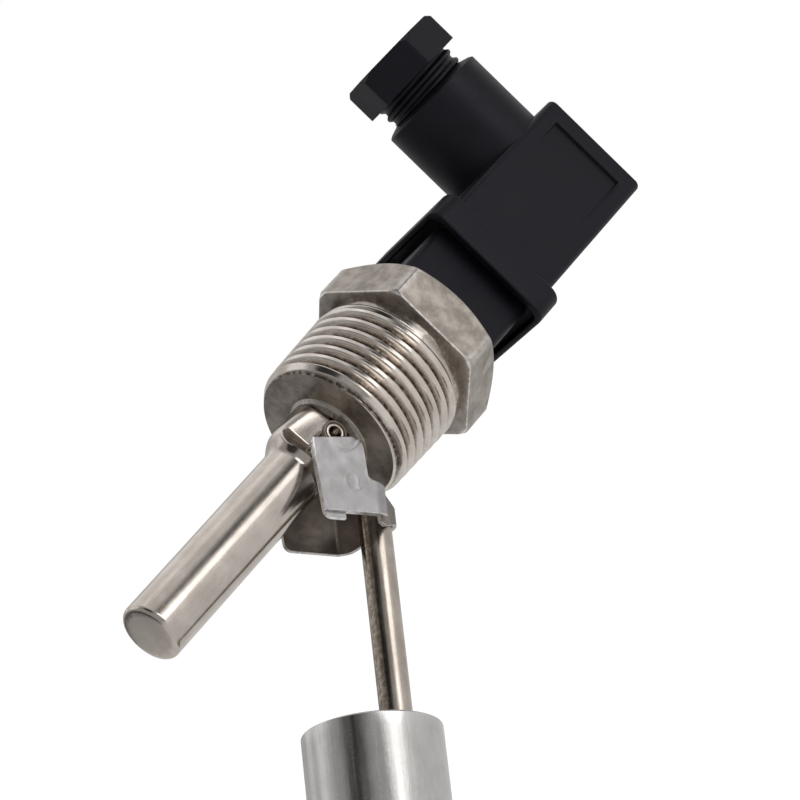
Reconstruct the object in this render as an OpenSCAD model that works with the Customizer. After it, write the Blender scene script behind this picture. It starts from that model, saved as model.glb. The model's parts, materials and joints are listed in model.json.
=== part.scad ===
// Side mount float switch: a threaded plug carries a sensing stem with a swinging float arm in the
// tank, and a square cable connector with a side gland outside it.
// X runs along the stem into the tank, Z is up and is the way the cable leaves, and the origin is
// on the stem's axis at the sealing face of the hex. Millimetres.

/* [Process plug] */
// Width of the hex across its flats
hex_af = 22.2; // [21.6:0.1:26]
// Thickness of the hex
hex_t = 5; // [4:0.1:8]
// Bevel that takes the back corners off the hex
hex_bevel = 1.1; // [0.4:0.1:1.6]
// Outside diameter of the taper thread at its large end
thread_d = 21.3; // [19.5:0.1:21.4]
// Distance from one thread crest to the next
thread_pitch = 1.814; // [1.4:0.001:2.3]
// Height of a thread crest over its root
thread_h = 0.95; // [0.5:0.05:1.2]
// Length over which the thread's diameter falls by 1 mm
thread_taper = 16; // [12:1:40]
// Smooth length between the hex and the first crest
relief_l = 1.7; // [1:0.1:2.5]
// How far the smooth length lies below the crests
relief_h = 0.45; // [0.2:0.05:0.9]
// Length of the plug from the hex face to its front face
plug_l = 14.9; // [13.5:0.1:20]
// Bevel at the front of the plug
plug_bevel = 0.6; // [0.3:0.1:1]
// Diameter of the wiring chamber behind the stem
chamber_d = 12.4; // [11.6:0.1:14]
// Depth of the wiring chamber, from the hex's sealing face inwards
chamber_l = 6; // [5:0.1:8]

/* [Stem] */
// Outside diameter of the sensing stem
stem_d = 8; // [7.6:0.1:8.4]
// Wall of the stem
stem_wall = 0.6; // [0.4:0.05:0.8]
// Distance from the hex face to the stem's tip
stem_tip_x = 53.4; // [52:0.1:56]
// Rounding of the stem's closed tip
tip_r = 1.3; // [0.5:0.1:2]
// Height of the stem where it is pinched for the hinge pin
pinch_h = 10.4; // [9.6:0.1:10.8]
// Thickness of the stem where it is pinched
pinch_t = 4.8; // [4.4:0.1:6]
// Distance from the plug's front face to the end of the pinched part
pinch_l = 6.5; // [6.3:0.1:6.8]
// Length over which the pinched edges slope back to the round stem
pinch_slope = 2.2; // [1.5:0.1:2.4]
// Radius of the dents' run-out towards the tip
dent_r = 2.3; // [1.8:0.1:3]
// Radius of the dents' run-out towards the plug
dent_rear_r = 0.8; // [0.6:0.1:1.2]
// Height of the weld bead round the stem
weld_h = 0.5; // [0.2:0.1:0.6]
// Diameter of the weld bead
weld_d = 11.2; // [9.5:0.1:12]

/* [Hinge] */
// Distance from the plug's front face to the hinge pin
pin_from_face = 3; // [2.6:0.1:3.4]
// Outside diameter of the hollow pin
pin_d = 2.4; // [1.8:0.1:2.6]
// Bore of the hollow pin
pin_bore = 1.6; // [1:0.1:1.7]
// Rolled head on the pin's far end, its diameter
pin_head_d = 3.4; // [2.9:0.1:4]
// Running clearance round the pin, on the radius
pin_play = 0.05; // [0.02:0.01:0.09]
// Angle of the arm below the stem
arm_angle = 43.4; // [40:0.1:46]

/* [Arm] */
// Thickness of the folded sheet
sheet_t = 0.6; // [0.4:0.05:0.8]
// Distance between the insides of the ears
ear_span = 10.6; // [10:0.1:11]
// Inner radius of the bend between an ear and the slanted web
bend_r = 1.2; // [0.8:0.1:1.6]
// Distance from the pin to the start of that bend, across the arm
bend_z = 4.3; // [3.8:0.1:4.8]
// Diameter of the float rod
rod_d = 4; // [3.4:0.1:4.4]
// Distance of the rod's axis from the pin, across the arm
rod_z = 7.2; // [6.8:0.1:7.8]
// Length of the ears along the arm, from the pin
ear_l = 11.3; // [10.4:0.1:13]
// Radius of the ear round the pin
ear_head_r = 1.6; // [1.5:0.1:2]
// Distance from the pin to the top of the wrap round the rod
wrap_top = 6.4; // [6.2:0.1:8]
// How far the back of the wrap stops short of the ears' lower edge
wrap_cut = 1.6; // [0.5:0.1:1.8]
// Length of the cover plate along the arm, from the pin
cover_l = 10.5; // [9.5:0.1:11]

/* [Float] */
// Outside diameter of the float
float_d = 17; // [16:0.1:18]
// Length of the float
float_l = 34; // [25:0.5:50]
// Wall of the float
float_wall = 0.5; // [0.3:0.05:0.8]
// Rounding of the float's far edge
float_edge_r = 2.5; // [1:0.1:6]
// Gap between the float and the stem's tip when the arm is raised
float_gap = 0.4; // [0.3:0.05:2]
// Distance of the float's axis from the pin, across the arm
float_z = 3.65; // [3:0.05:4.2]
// Diameter of the magnet in the float
magnet_d = 7; // [5:0.1:7.4]
// Thickness of the magnet
magnet_t = 3; // [2:0.1:5]

/* [Reed switch] */
// Diameter of the glass
glass_d = 2.2; // [1.6:0.1:2.4]
// Length of the glass
glass_l = 10; // [8:0.5:12]
// Thickness of the insulating sleeve
sleeve_t = 0.3; // [0.2:0.05:0.4]
// Diameter of an insulated lead wire
wire_d = 1; // [0.8:0.05:1.1]
// Distance of a lead wire from the stem's axis
wire_z = 2.25; // [2.2:0.05:2.4]

/* [Connector base] */
// Width of the square base
base_w = 15.5; // [15:0.1:16]
// Height of the base above the hex
base_h = 10.6; // [9:0.1:12]
// Width of the foot flange where the base meets the hex
foot_w = 16.9; // [16.1:0.1:17.4]
// Height of the foot flange
foot_h = 1.5; // [1:0.1:3]
// Height of the spigot that enters the plug housing
spigot_h = 4; // [3:0.1:4.5]
// Step from the base's side in to the spigot's
spigot_step = 1.15; // [1.05:0.05:1.4]
// Width of a contact blade
blade_w = 2.8; // [2:0.1:3]
// Thickness of a contact blade
blade_t = 0.8; // [0.5:0.05:0.9]
// Length of a contact blade above the spigot
blade_l = 7.5; // [6:0.1:8]
// Distance of a contact blade from the centre screw
blade_off = 4; // [3.9:0.1:4.2]

/* [Plug housing] */
// Height of the housing, from its top to the hex's sealing face
top_x = 44; // [42:0.1:47]
// Width of the housing, across the stem towards the cable
box_w = 16.4; // [16:0.1:17.5]
// Depth of the housing, across the stem and the cable
box_d = 15.9; // [15.6:0.1:17]
// Rounding of the housing's edges
box_r = 1; // [0.4:0.1:2]
// Outer width of the skirt
skirt_w = 19.8; // [19.4:0.1:21]
// Thickness of the skirt's wall
skirt_wall = 0.95; // [0.8:0.05:1.1]
// Length of the skirt
skirt_l = 4.4; // [3.6:0.1:5]
// Length of the flare from the box to the skirt
flare_l = 1; // [0.6:0.1:2]
// Wall of the housing
box_wall = 1.3; // [1:0.1:1.4]
// Depth of the recessed side panels
panel_depth = 0.4; // [0.2:0.05:0.5]
// Width of the recessed side panels
panel_w = 11.2; // [8:0.1:12]

/* [Cable gland] */
// Distance of the gland's axis from the top of the housing
gland_x = 7.8; // [7.7:0.1:9]
// Diameter of the gland boss
boss_d = 15.4; // [14:0.1:15.6]
// Distance from the connector's axis to the boss's end
boss_end = 19.9; // [17:0.1:24]
// Length of the boss's sloping end
boss_cone_l = 1; // [0.5:0.1:1.5]
// Outside diameter of the gland thread
gland_thread_d = 12.4; // [12:0.1:12.5]
// Pitch of the gland thread
gland_pitch = 1.5; // [1:0.1:2]
// Distance from the boss's end to the nut
nut_gap = 3.2; // [2:0.1:4]
// Width of the gland nut across its flats
nut_af = 13.5; // [13.3:0.1:15]
// Length of the gland nut
nut_l = 4.7; // [4.2:0.1:7]
// Thickness of the gland nut's outer wall
nut_wall = 1.2; // [0.8:0.1:1.4]
// Diameter of the cable hole
cable_hole_d = 6.6; // [5:0.1:7]
// Bore that holds the grommet
grommet_d = 10; // [9:0.1:10.2]

/* [Centre screw] */
// Diameter of the screw
screw_d = 3; // [2.5:0.1:3.2]
// Diameter of the screw's head
screw_head_d = 5; // [4.6:0.1:5.4]
// Height of the screw's head
screw_head_l = 1.8; // [1.5:0.1:2.2]
// Depth of the head below the housing's top
screw_sink = 0.4; // [0.1:0.1:0.6]

/* [Hidden] */
$fn = 96;

// Clearance at a welded, pressed or glued seat, and an overshoot for cuts
seat = 0.02;
over = 1;
// Slack of a piece that is dropped into a pocket
drop = 0.1;

steel = [0.72, 0.71, 0.69];
steel_dark = [0.55, 0.54, 0.52];
black = [0.1, 0.1, 0.11];
rubber = [0.16, 0.16, 0.17];
resin = [0.25, 0.22, 0.18];
brass = [0.78, 0.62, 0.3];
glass = [0.75, 0.85, 0.8];
copper_red = [0.6, 0.15, 0.1];
wire_blue = [0.1, 0.2, 0.5];
wire_green = [0.35, 0.5, 0.1];
magnet_grey = [0.3, 0.3, 0.32];

// Stem and hinge
stem_r = stem_d / 2;
stem_in_r = stem_r - stem_wall;
stem_x0 = chamber_l + 0.5;
tip_len = 1.8;
tip_spigot_l = 1;
pin_x = plug_l + pin_from_face;
pin_r = pin_d / 2;
pinch_x0 = plug_l + weld_h + 0.05;
pinch_rise = 0.8;
pinch_x1 = plug_l + pinch_l;
pinch_x2 = pinch_x1 + pinch_slope;
dent_y = pinch_t / 2;
dent_x1 = pinch_x1 - dent_r - 0.05;

// Arm, in its own frame: x along the arm, z across it, the pin at its origin
ear_in = ear_span / 2;
ear_out = ear_in + sheet_t;
hole_r = pin_r + pin_play;
rod_r = rod_d / 2;
wrap_r = rod_r + seat;
bend_c = [ear_in - bend_r, -bend_z];
rod_c = [0, -rod_z];
wrap_back = rod_z + wrap_r + sheet_t;
ear_front = 3.3;
ear_back = 3.1;
ear_slant = 0.7;
notch_x = ear_l - 0.9;
rod_top = wrap_top + 0.6;

// Float
float_r = float_d / 2;
float_in_r = float_r - float_wall;
float_x = stem_tip_x - pin_x + float_gap;
cap_t = 0.6;
cap_sink = 0.5;
cap_r = float_in_r - seat;
rod_end = float_x + cap_sink + cap_t + 0.6;
magnet_r = magnet_d / 2;
magnet_z = float_z - 0.3;
cup_t = 0.4;
cup_r = magnet_r + seat + cup_t;

// Reed switch and wiring
glass_r = glass_d / 2;
glass_x1 = stem_tip_x - tip_len - tip_spigot_l - 2.6;
glass_x0 = glass_x1 - glass_l;
lead_r = 0.25;
lead_l = 1.4;
sleeve_over = 1.3;
sleeve_in_r = glass_r + drop;
sleeve_r = sleeve_in_r + sleeve_t;
wire_r = wire_d / 2;
elbow = 1.06;
seam_turn = 25;
resin_l = 7.4;
resin_x1 = stem_tip_x - tip_len - tip_spigot_l - seat;
rear_resin_x0 = 0.5;
rear_resin_x1 = 4.5;
chamber_r = chamber_d / 2;

// Connector, measured back from the hex
hex_back = -hex_t;
base_top = hex_back - base_h;
spigot_w = base_w - 2 * spigot_step;
spigot_top = base_top - spigot_h;
base_cav_r = 5.4;
base_cav_l = 3.6;
collar_l = 3;
collar_r = chamber_r - seat;
collar_in_r = collar_r - 1.1;
insert_r = 2.2;
insert_l = 7;
tail_x = hex_back - base_cav_l;
blade_tip = spigot_top - blade_l;
earth_off = blade_off + 0.2;
seal_r0 = chamber_r + 0.3;
seal_r1 = seal_r0 + 0.9;
seal_h = 0.8;

skirt_x = base_top + 1.1;
skirt_top = skirt_x - skirt_l;
box_start = skirt_top - flare_l;
skirt_in = skirt_w - 2 * skirt_wall;
cavity_w = spigot_w + 0.4;
gasket_in = spigot_w + 2 * drop;
gasket_out = base_w - 0.4;
gasket_h = 1.4;
gasket_top = base_top - gasket_h - seat;
cavity_top = -top_x + box_wall + 1.6;
carrier_x0 = spigot_top - 0.3;
carrier_l = 11.5;
carrier_x1 = carrier_x0 - carrier_l;
carrier_w = cavity_w - 2 * drop;

socket_w = blade_w + 1.2;
socket_t = blade_t + 1.2;
socket_l = blade_l - 0.6;
term_r = 0.9;
term_head_r = 1.3;
term_head_l = 0.8;
term_l = 3;

screw_r = screw_d / 2;
screw_head_r = screw_head_d / 2;
head_x0 = -top_x + screw_sink;
head_x1 = head_x0 + screw_head_l;
ring_t = 0.6;
ring_x1 = head_x1 + 0.05 + ring_t;
well_r = screw_head_r + 0.2;
well_end = ring_x1 + 0.05;
screw_end = base_top - spigot_h + insert_l - 1.2;
tower_r = 3.1;

// Gland
gx = -top_x + gland_x;
boss_r = boss_d / 2;
gland_r = gland_thread_d / 2;
gland_root = 0.45;
nut_z0 = boss_end + nut_gap;
nut_z1 = nut_z0 + nut_l;
nut_in_z = nut_z1 - nut_wall;
spigot_end = nut_in_z - 0.3;
hole_cable_r = cable_hole_d / 2;
cable_room_r = hole_cable_r + 0.2;
grommet_r = grommet_d / 2;
bore_r = grommet_r + drop;
washer_t = 1;
washer_z1 = nut_in_z - 0.05;
washer_z0 = washer_z1 - washer_t;
grommet_z1 = washer_z0 - 0.05;
grommet_l = 5.6;
grommet_z0 = grommet_z1 - grommet_l;

// Puts a shape drawn round Z on the stem's axis, starting at x
module on_stem(x = 0) translate([x, 0, 0]) rotate([0, 90, 0]) children();

// A disc, or a ring where r0 is given, on the stem's axis from x0 to x1
module disc(x0, x1, r, r0 = 0) {
    on_stem(min(x0, x1)) difference() {
        cylinder(r = r, h = abs(x1 - x0));
        if (r0 > 0)
            translate([0, 0, -over]) cylinder(r = r0, h = abs(x1 - x0) + 2 * over);
    }
}

// A square block round the stem's axis, wy by wz, with rounded edges along X
module block(x0, x1, wy, wz, r) {
    a = wy / 2 - r;
    b = wz / 2 - r;
    l = abs(x1 - x0);
    translate([min(x0, x1), 0, 0]) rotate([90, 0, 90]) linear_extrude(l) union() {
        square([wy, 2 * b], center = true);
        square([2 * a, wz], center = true);
        for (sy = [-1, 1]) for (sz = [-1, 1])
            translate([sy * a, sz * b]) circle(r = r);
    }
}

// A wire along a short list of points: straight stretches with a small ball at each elbow
module wire(points, r) {
    for (i = [0:len(points) - 2]) {
        d = points[i + 1] - points[i];
        l = norm(d);
        translate(points[i]) rotate([0, acos(d[2] / l), atan2(d[1], d[0])]) rotate(seam_turn)
            cylinder(r = r, h = l, $fn = 24);
        if (i > 0) translate(points[i]) rotate([seam_turn, 2 * seam_turn, 0])
            sphere(r = elbow * r, $fn = 24);
    }
}

// Points of a polygon whose corners are rounded to the radii in rs
function unit(v) = v / norm(v);
function corner(a, b, c, r, n = 5) =
    let (u = unit(a - b), w = unit(c - b), half = acos(u * w) / 2, t = r / tan(half),
        p = b + u * t, q = b + w * t, m = b + unit(u + w) * r / sin(half),
        s = atan2((p - m)[1], (p - m)[0]), e = atan2((q - m)[1], (q - m)[0]),
        turn = e - s > 180 ? e - s - 360 : (e - s < -180 ? e - s + 360 : e - s))
    r <= 0 ? [b] : [for (i = [0:n]) m + r * [cos(s + turn * i / n), sin(s + turn * i / n)]];
function rounded(pts, rs) = [for (i = [0:len(pts) - 1])
    each corner(pts[(i + len(pts) - 1) % len(pts)], pts[i], pts[(i + 1) % len(pts)], rs[i])];

// Crest radius of the taper thread at a distance x from the hex
function crest_r(x) = thread_d / 2 - (x - relief_l) / (2 * thread_taper);

// Number of whole crests between the relief and the front bevel
crests = floor((plug_l - relief_l - plug_bevel) / thread_pitch);

// Hex with a taper thread on its front, bored for the stem and chambered behind it
module process_fitting() {
    relief_r = thread_d / 2 - relief_h;
    front_r = crest_r(plug_l) - thread_h * 0.6;
    profile = concat(
        [[0, hex_back], [relief_r, hex_back], [relief_r, relief_l]],
        [for (i = [0:crests - 1]) let (x = relief_l + i * thread_pitch, r = crest_r(x))
            each [[r - thread_h, x + 0.05 * thread_pitch], [r, x + 0.42 * thread_pitch],
                [r, x + 0.58 * thread_pitch], [r - thread_h, x + 0.95 * thread_pitch]]],
        [[front_r, plug_l - plug_bevel], [front_r - plug_bevel * 0.5, plug_l], [0, plug_l]]);
    color(steel) difference() {
        union() {
            on_stem() rotate_extrude() polygon(profile);
            intersection() {
                on_stem(hex_back) cylinder(d = hex_af / cos(30), h = hex_t, $fn = 6);
                on_stem() rotate_extrude() polygon([
                    [0, hex_back], [hex_af / 2, hex_back],
                    [hex_af / 2 / cos(30), hex_back + hex_bevel],
                    [hex_af / 2 / cos(30), -0.3], [hex_af / 2 / cos(30) - 0.4, 0], [0, 0]]);
            }
            on_stem() rotate_extrude() polygon([[stem_r + seat, plug_l - over],
                [weld_d / 2, plug_l - over], [weld_d / 2, plug_l + 0.12],
                [stem_r + 0.6, plug_l + weld_h], [stem_r + seat, plug_l + weld_h]]);
        }
        disc(hex_back - over, chamber_l, chamber_r);
        disc(chamber_l - over, plug_l + over, stem_r + seat);
    }
}

// Room outside one dent of the pinched stem, grown by off: a flat with a curved run-out at each end
module dent(off) {
    x0 = pinch_x0 + dent_rear_r;
    linear_extrude(2 * pinch_h, center = true) union() {
        translate([x0, dent_y - off]) square([dent_x1 - x0, pinch_h]);
        translate([x0, dent_y + dent_rear_r]) circle(r = dent_rear_r + off);
        translate([x0 - dent_rear_r - off, dent_y + dent_rear_r])
            square([dent_rear_r + 2 * off, pinch_h]);
        translate([dent_x1, dent_y + dent_r]) circle(r = dent_r + off);
    }
}

// Stem from x0 to x1 with its pinched part, smaller by off all round
module pinched(x0, x1, off = 0) {
    r = stem_r - off;
    edge_r = pinch_h / 2 - off;
    difference() {
        on_stem() rotate_extrude() polygon([[0, x0], [r, x0], [r, pinch_x0],
            [edge_r, pinch_x0 + pinch_rise], [edge_r, pinch_x1], [r, pinch_x2], [r, x1], [0, x1]]);
        dent(off);
        mirror([0, 1, 0]) dent(off);
    }
}

// Cross hole for the pin through everything on the stem
module pin_hole(r) translate([pin_x, 0, 0]) rotate([90, 0, 0]) cylinder(r = r, h = 40, center = true);

// Sensing stem: a thin tube, pinched and cross drilled for the pin
module stem_tube() {
    x1 = stem_tip_x - tip_len;
    color(steel) difference() {
        pinched(stem_x0, x1);
        pinched(stem_x0 - over, x1 + over, stem_wall);
        pin_hole(pin_r + seat);
    }
}

// Rounded plug welded into the stem's open end
module stem_end_plug() {
    x0 = stem_tip_x - tip_len + seat;
    steps = 8;
    color(steel) on_stem() rotate_extrude() polygon(concat(
        [[0, x0 - tip_spigot_l], [stem_in_r - seat, x0 - tip_spigot_l],
            [stem_in_r - seat, x0], [stem_r, x0]],
        [for (i = [0:steps]) [stem_r - tip_r + tip_r * cos(90 * i / steps),
            stem_tip_x - tip_r + tip_r * sin(90 * i / steps)]],
        [[0, stem_tip_x]]));
}

// Hollow pin through the stem, plain at the near end and rolled over at the far one
module hinge_pin() {
    y1 = ear_out - 0.03;
    y0 = -ear_out - 0.05;
    head = 0.35;
    color(steel) difference() {
        translate([pin_x, y1, 0]) rotate([90, 0, 0]) union() {
            cylinder(r = pin_r, h = y1 - y0 + head);
            translate([0, 0, y1 - y0]) cylinder(d = pin_head_d, h = head);
        }
        pin_hole(pin_bore / 2);
    }
}

// Glass body of the reed switch
module reed_glass() {
    color(glass) union() {
        disc(glass_x0 + glass_r, glass_x1 - glass_r, glass_r);
        for (x = [glass_x0 + glass_r, glass_x1 - glass_r]) translate([x, 0, 0]) sphere(r = glass_r);
    }
}

// The two lead ends that come out of the glass
module reed_leads() {
    color(steel_dark) {
        disc(glass_x0 - lead_l, glass_x0 - seat, lead_r);
        disc(glass_x1 + seat, glass_x1 + lead_l, lead_r);
    }
}

// Insulating sleeve over the reed switch
module reed_sleeve() {
    color(rubber) disc(glass_x0 - sleeve_over, glass_x1 + sleeve_over, sleeve_r, sleeve_in_r);
}

// Lead wire to the rear end of the reed switch, and one that passes it to its front end
lead_a_x = glass_x0 - lead_l - wire_r - seat;
lead_b_x = glass_x1 + lead_l + wire_r + seat;

// Path of a lead wire from its blade at y to the reed lead at x, on the side s of the stem's axis
function lead_path(y, x, s) = [[tail_x + seat, y, 0], [tail_x + 1.6, y, 0],
    [hex_back + 2.5, 0, s * wire_z], [x, 0, s * wire_z], [x, 0, -s * lead_r]];

module lead_wire_a() color(copper_red) wire(lead_path(blade_off, lead_a_x, 1), wire_r);

module lead_wire_b() color(wire_blue) wire(lead_path(-blade_off, lead_b_x, -1), wire_r);

// Earth wire from its blade to the wall of the plug's chamber
earth_z = chamber_r - elbow * wire_r - seat;
earth_room = elbow * wire_r + seat;
earth_end_x = hex_back + collar_l + 3;
earth_path = [[tail_x + seat, 0, -earth_off], [hex_back + collar_l + 0.6, 0, -earth_off],
    [earth_end_x, 0, elbow * wire_r - earth_z]];

module earth_wire() color(wire_green) wire(earth_path, wire_r);

// Resin that holds the reed switch in the stem's tip
module tip_resin() {
    room = elbow * wire_r + seat;
    color(resin) difference() {
        disc(resin_x1 - resin_l, resin_x1, stem_in_r - seat);
        disc(resin_x1 - resin_l - over, glass_x1 + sleeve_over + seat, sleeve_r + seat);
        translate([0, 0, -wire_z]) disc(resin_x1 - resin_l - over, lead_b_x, wire_r + seat);
        translate([glass_x1 + sleeve_over, -room, -wire_z - room])
            cube([lead_b_x + room - glass_x1 - sleeve_over, 2 * room, wire_z + 2 * room]);
    }
}

// Resin that seals the wires into the plug's chamber
module rear_resin() {
    color(resin) difference() {
        disc(rear_resin_x0, rear_resin_x1, chamber_r - seat);
        for (s = [-1, 1]) translate([0, 0, s * wire_z])
            disc(rear_resin_x0 - over, rear_resin_x1 + over, wire_r + seat);
        translate([rear_resin_x0 - over, -earth_room, -chamber_r])
            cube([earth_end_x + earth_room + over - rear_resin_x0, 2 * earth_room, chamber_r - earth_off + earth_room]);
    }
}

// Flat sealing ring in the base's foot
module base_seal() color(rubber) disc(hex_back - seat, hex_back - seal_h, seal_r1, seal_r0);

// Square base, with a collar in the plug's chamber and a spigot for the plug housing
module connector_base() {
    color(black) difference() {
        union() {
            block(hex_back, hex_back - foot_h, foot_w, foot_w, 2.4);
            block(hex_back, base_top, base_w, base_w, 1);
            block(base_top + over, spigot_top, spigot_w, spigot_w, 1);
            disc(hex_back - over, hex_back + collar_l, collar_r);
        }
        disc(hex_back + seat, hex_back - seal_h - seat, seal_r1 + seat, seal_r0 - seat);
        disc(tail_x, hex_back + over, base_cav_r);
        disc(hex_back - over, hex_back + collar_l + over, collar_in_r);
        disc(spigot_top - over, spigot_top + insert_l + seat, insert_r + seat);
        for (s = [-1, 1]) blade_slot(s * blade_off, 0);
        blade_slot(0, -earth_off);
    }
}

// Slot in the base for a blade at y, z
module blade_slot(y, z) blade(y, z, spigot_top - over, hex_back, seat);

// A flat blade at y, z from x0 to x1, larger by grow all round
module blade(y, z, x0, x1, grow = 0) {
    along_y = z == 0;
    wy = along_y ? blade_t : blade_w;
    wz = along_y ? blade_w : blade_t;
    translate([x0, y - wy / 2 - grow, z - wz / 2 - grow])
        cube([x1 - x0, wy + 2 * grow, wz + 2 * grow]);
}

module contact_blade_a() color(brass) blade(blade_off, 0, blade_tip, tail_x);

module contact_blade_b() color(brass) blade(-blade_off, 0, blade_tip, tail_x);

module earth_blade() color(brass) blade(0, -earth_off, blade_tip, tail_x);

// Threaded insert in the base for the centre screw
module base_insert() color(brass) disc(spigot_top, spigot_top + insert_l, insert_r, screw_r + 0.05);

// Square profile gasket between the base and the plug housing
module profile_gasket() {
    color(rubber) difference() {
        block(base_top - seat, gasket_top, gasket_out, gasket_out, 1);
        block(base_top + over, gasket_top - over, gasket_in, gasket_in, 1);
    }
}

// Outer form of the housing: box, flare and skirt, with the gland boss
module housing_body() {
    block(-top_x, box_start + seat, box_d, box_w, box_r);
    hull() {
        block(box_start, box_start + 0.05, box_d, box_w, box_r, $fn = 32);
        block(skirt_top - 0.05, skirt_top, skirt_w, skirt_w, 1.8, $fn = 32);
    }
    block(skirt_top - seat, skirt_x, skirt_w, skirt_w, 1.8);
    translate([gx, 0, 0]) rotate_extrude() polygon(concat(
        [[0, 0], [boss_r, 0], [boss_r, boss_end - boss_cone_l * 0.6],
            [boss_r - 0.5, boss_end], [gland_r - gland_root, boss_end + boss_cone_l * 0.5]],
        gland_ridges(),
        [[gland_r - gland_root, spigot_end], [0, spigot_end]]));
}

// Outline of the gland thread's ridges
gland_z0 = boss_end + boss_cone_l * 0.5;
gland_crests = floor((spigot_end - gland_z0) / gland_pitch);
function gland_ridges() = [for (i = [0:gland_crests - 1]) let (z = gland_z0 + i * gland_pitch)
    each [[gland_r - gland_root, z + 0.1 * gland_pitch], [gland_r, z + 0.42 * gland_pitch],
        [gland_r, z + 0.58 * gland_pitch], [gland_r - gland_root, z + 0.9 * gland_pitch]]];

// Recessed panel on the near or far side of the housing
module side_panel(s) {
    x0 = -top_x + 2.6;
    l = box_start - 1.2 - x0;
    translate([0, 0, -panel_w / 2]) linear_extrude(panel_w) polygon([[x0, s * (box_d / 2 + over)],
        [x0, s * (box_d / 2 - panel_depth)], [x0 + l, s * (box_d / 2 + over)]]);
}

// Moulded plug housing, hollow, with the gland boss on its side
module plug_housing() {
    color(black) difference() {
        housing_body();
        for (s = [-1, 1]) side_panel(s);
        block(skirt_x + over, gasket_top - seat, skirt_in, skirt_in, 1.2);
        difference() {
            block(gasket_top + over, cavity_top, cavity_w, cavity_w, 0.8);
            disc(cavity_top - over, carrier_x1 - seat, tower_r);
        }
        disc(-top_x - over, well_end, well_r);
        disc(-top_x, carrier_x1 + over, screw_r + 0.3);
        translate([gx, 0, 0]) {
            translate([0, 0, grommet_z0 - seat]) cylinder(r = bore_r, h = 30);
            translate([0, 0, tower_r + 1]) cylinder(r = cable_room_r, h = 30);
        }
        for (p = term_places) term_screw(p, seat);
        for (s = [-1, 1]) translate([box_start - 0.5, s * (box_d / 2 - 0.3) - 0.4, -box_w / 2 + 1.7])
            cube([0.4, 0.8, 1.9]);
    }
}

// Carrier that holds the three contact sockets in the housing
module contact_carrier() {
    color(rubber) difference() {
        block(carrier_x0, carrier_x1, carrier_w, carrier_w, 0.8);
        disc(carrier_x0 + over, carrier_x1 - over, screw_r + 0.3);
        for (s = [-1, 1]) socket_room(s * blade_off, 0, seat);
        socket_room(0, -earth_off, seat);
        for (p = term_places) term_screw(p, seat);
        for (s = [-1, 1]) blade(s * blade_off, 0, blade_tip - 0.3, spigot_top + over, 0.15);
        blade(0, -earth_off, blade_tip - 0.3, spigot_top + over, 0.15);
    }
}

// Block that a socket takes up at y, z, larger by grow
module socket_room(y, z, grow = 0) {
    along_y = z == 0;
    wy = (along_y ? socket_t : socket_w) + 2 * grow;
    wz = (along_y ? socket_w : socket_t) + 2 * grow;
    x0 = blade_tip - 1 - grow;
    translate([x0, y - wy / 2, z - wz / 2]) cube([socket_l + 1.4 + 2 * grow, wy, wz]);
}

// A contact socket: a block slotted for its blade and tapped for its terminal screw
module socket(y, z) {
    difference() {
        socket_room(y, z);
        blade(y, z, blade_tip - 0.3, spigot_top + over, 0.05);
        for (p = term_places) term_screw(p, seat);
    }
}

module contact_socket_a() color(brass) socket(blade_off, 0);

module contact_socket_b() color(brass) socket(-blade_off, 0);

module earth_socket() color(brass) socket(0, -earth_off);

// Terminal screws stand in the back of the sockets, heads towards the wiring room
term_places = [[blade_off, 0], [-blade_off, 0], [0, -earth_off]];

// One terminal screw at y, z
module term_screw(p, grow = 0) {
    x0 = carrier_x1 - 0.2 - grow;
    translate([0, p[0], p[1]]) {
        disc(x0, x0 + term_head_l + grow, term_head_r + grow);
        disc(x0, x0 + term_l + grow, term_r + grow);
    }
}

module terminal_screws() {
    color(steel_dark) for (p = term_places) difference() {
        term_screw(p);
        translate([carrier_x1 - 0.2 - over, p[0] - 0.2, p[1] - 2]) cube([over + 0.35, 0.4, 4]);
    }
}

// Rubber grommet that grips the cable
module gland_grommet() {
    color(rubber) translate([gx, 0, grommet_z0]) difference() {
        cylinder(r = grommet_r, h = grommet_l);
        translate([0, 0, -over]) cylinder(r = cable_room_r, h = grommet_l + 2 * over);
    }
}

// Washer that rides in the nut and presses on the grommet
module thrust_washer() {
    color(steel_dark) translate([gx, 0, washer_z0]) difference() {
        cylinder(r = grommet_r, h = washer_t);
        translate([0, 0, -over]) cylinder(r = cable_room_r, h = washer_t + 2 * over);
    }
}

// Hex gland nut
module gland_nut() {
    color(black) translate([gx, 0, nut_z0]) difference() {
        intersection() {
            rotate(30) cylinder(d = nut_af / cos(30), h = nut_l, $fn = 6);
            cylinder(r1 = nut_af / 2 / cos(30) + nut_l - 0.4, r2 = nut_af / 2 / cos(30) - 0.4, h = nut_l);
        }
        translate([0, 0, -over]) cylinder(r = gland_r + 0.05, h = nut_l - nut_wall + over);
        cylinder(r = hole_cable_r, h = nut_l + over);
    }
}

// Sealing ring under the head of the centre screw
module screw_seal() color(rubber) disc(head_x1 + 0.05, ring_x1, screw_head_r - 0.1, screw_r + 0.05);

// Slotted screw that holds the housing on the base
module centre_screw() {
    color(steel) difference() {
        union() {
            disc(head_x0, head_x1, screw_head_r);
            disc(head_x0, screw_end, screw_r);
        }
        translate([head_x0 - over, -0.4, -screw_head_d]) cube([over + 0.9, 0.8, 2 * screw_head_d]);
    }
}

// Puts a shape drawn in the arm's own frame at the hinge
module on_arm() translate([pin_x, 0, 0]) rotate([0, arm_angle, 0]) children();

// Direction of the slanted web's outer normal: the web is the outer tangent of the bend's circle
// and of the circle round the rod
fold_span = bend_c - rod_c;
fold_turn = atan2(fold_span[1], fold_span[0]) - acos((wrap_r - bend_r) / norm(fold_span));
bend_steps = 6;
wrap_steps = 16;
function around(c, r, a) = c + r * [cos(a), sin(a)];

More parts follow.
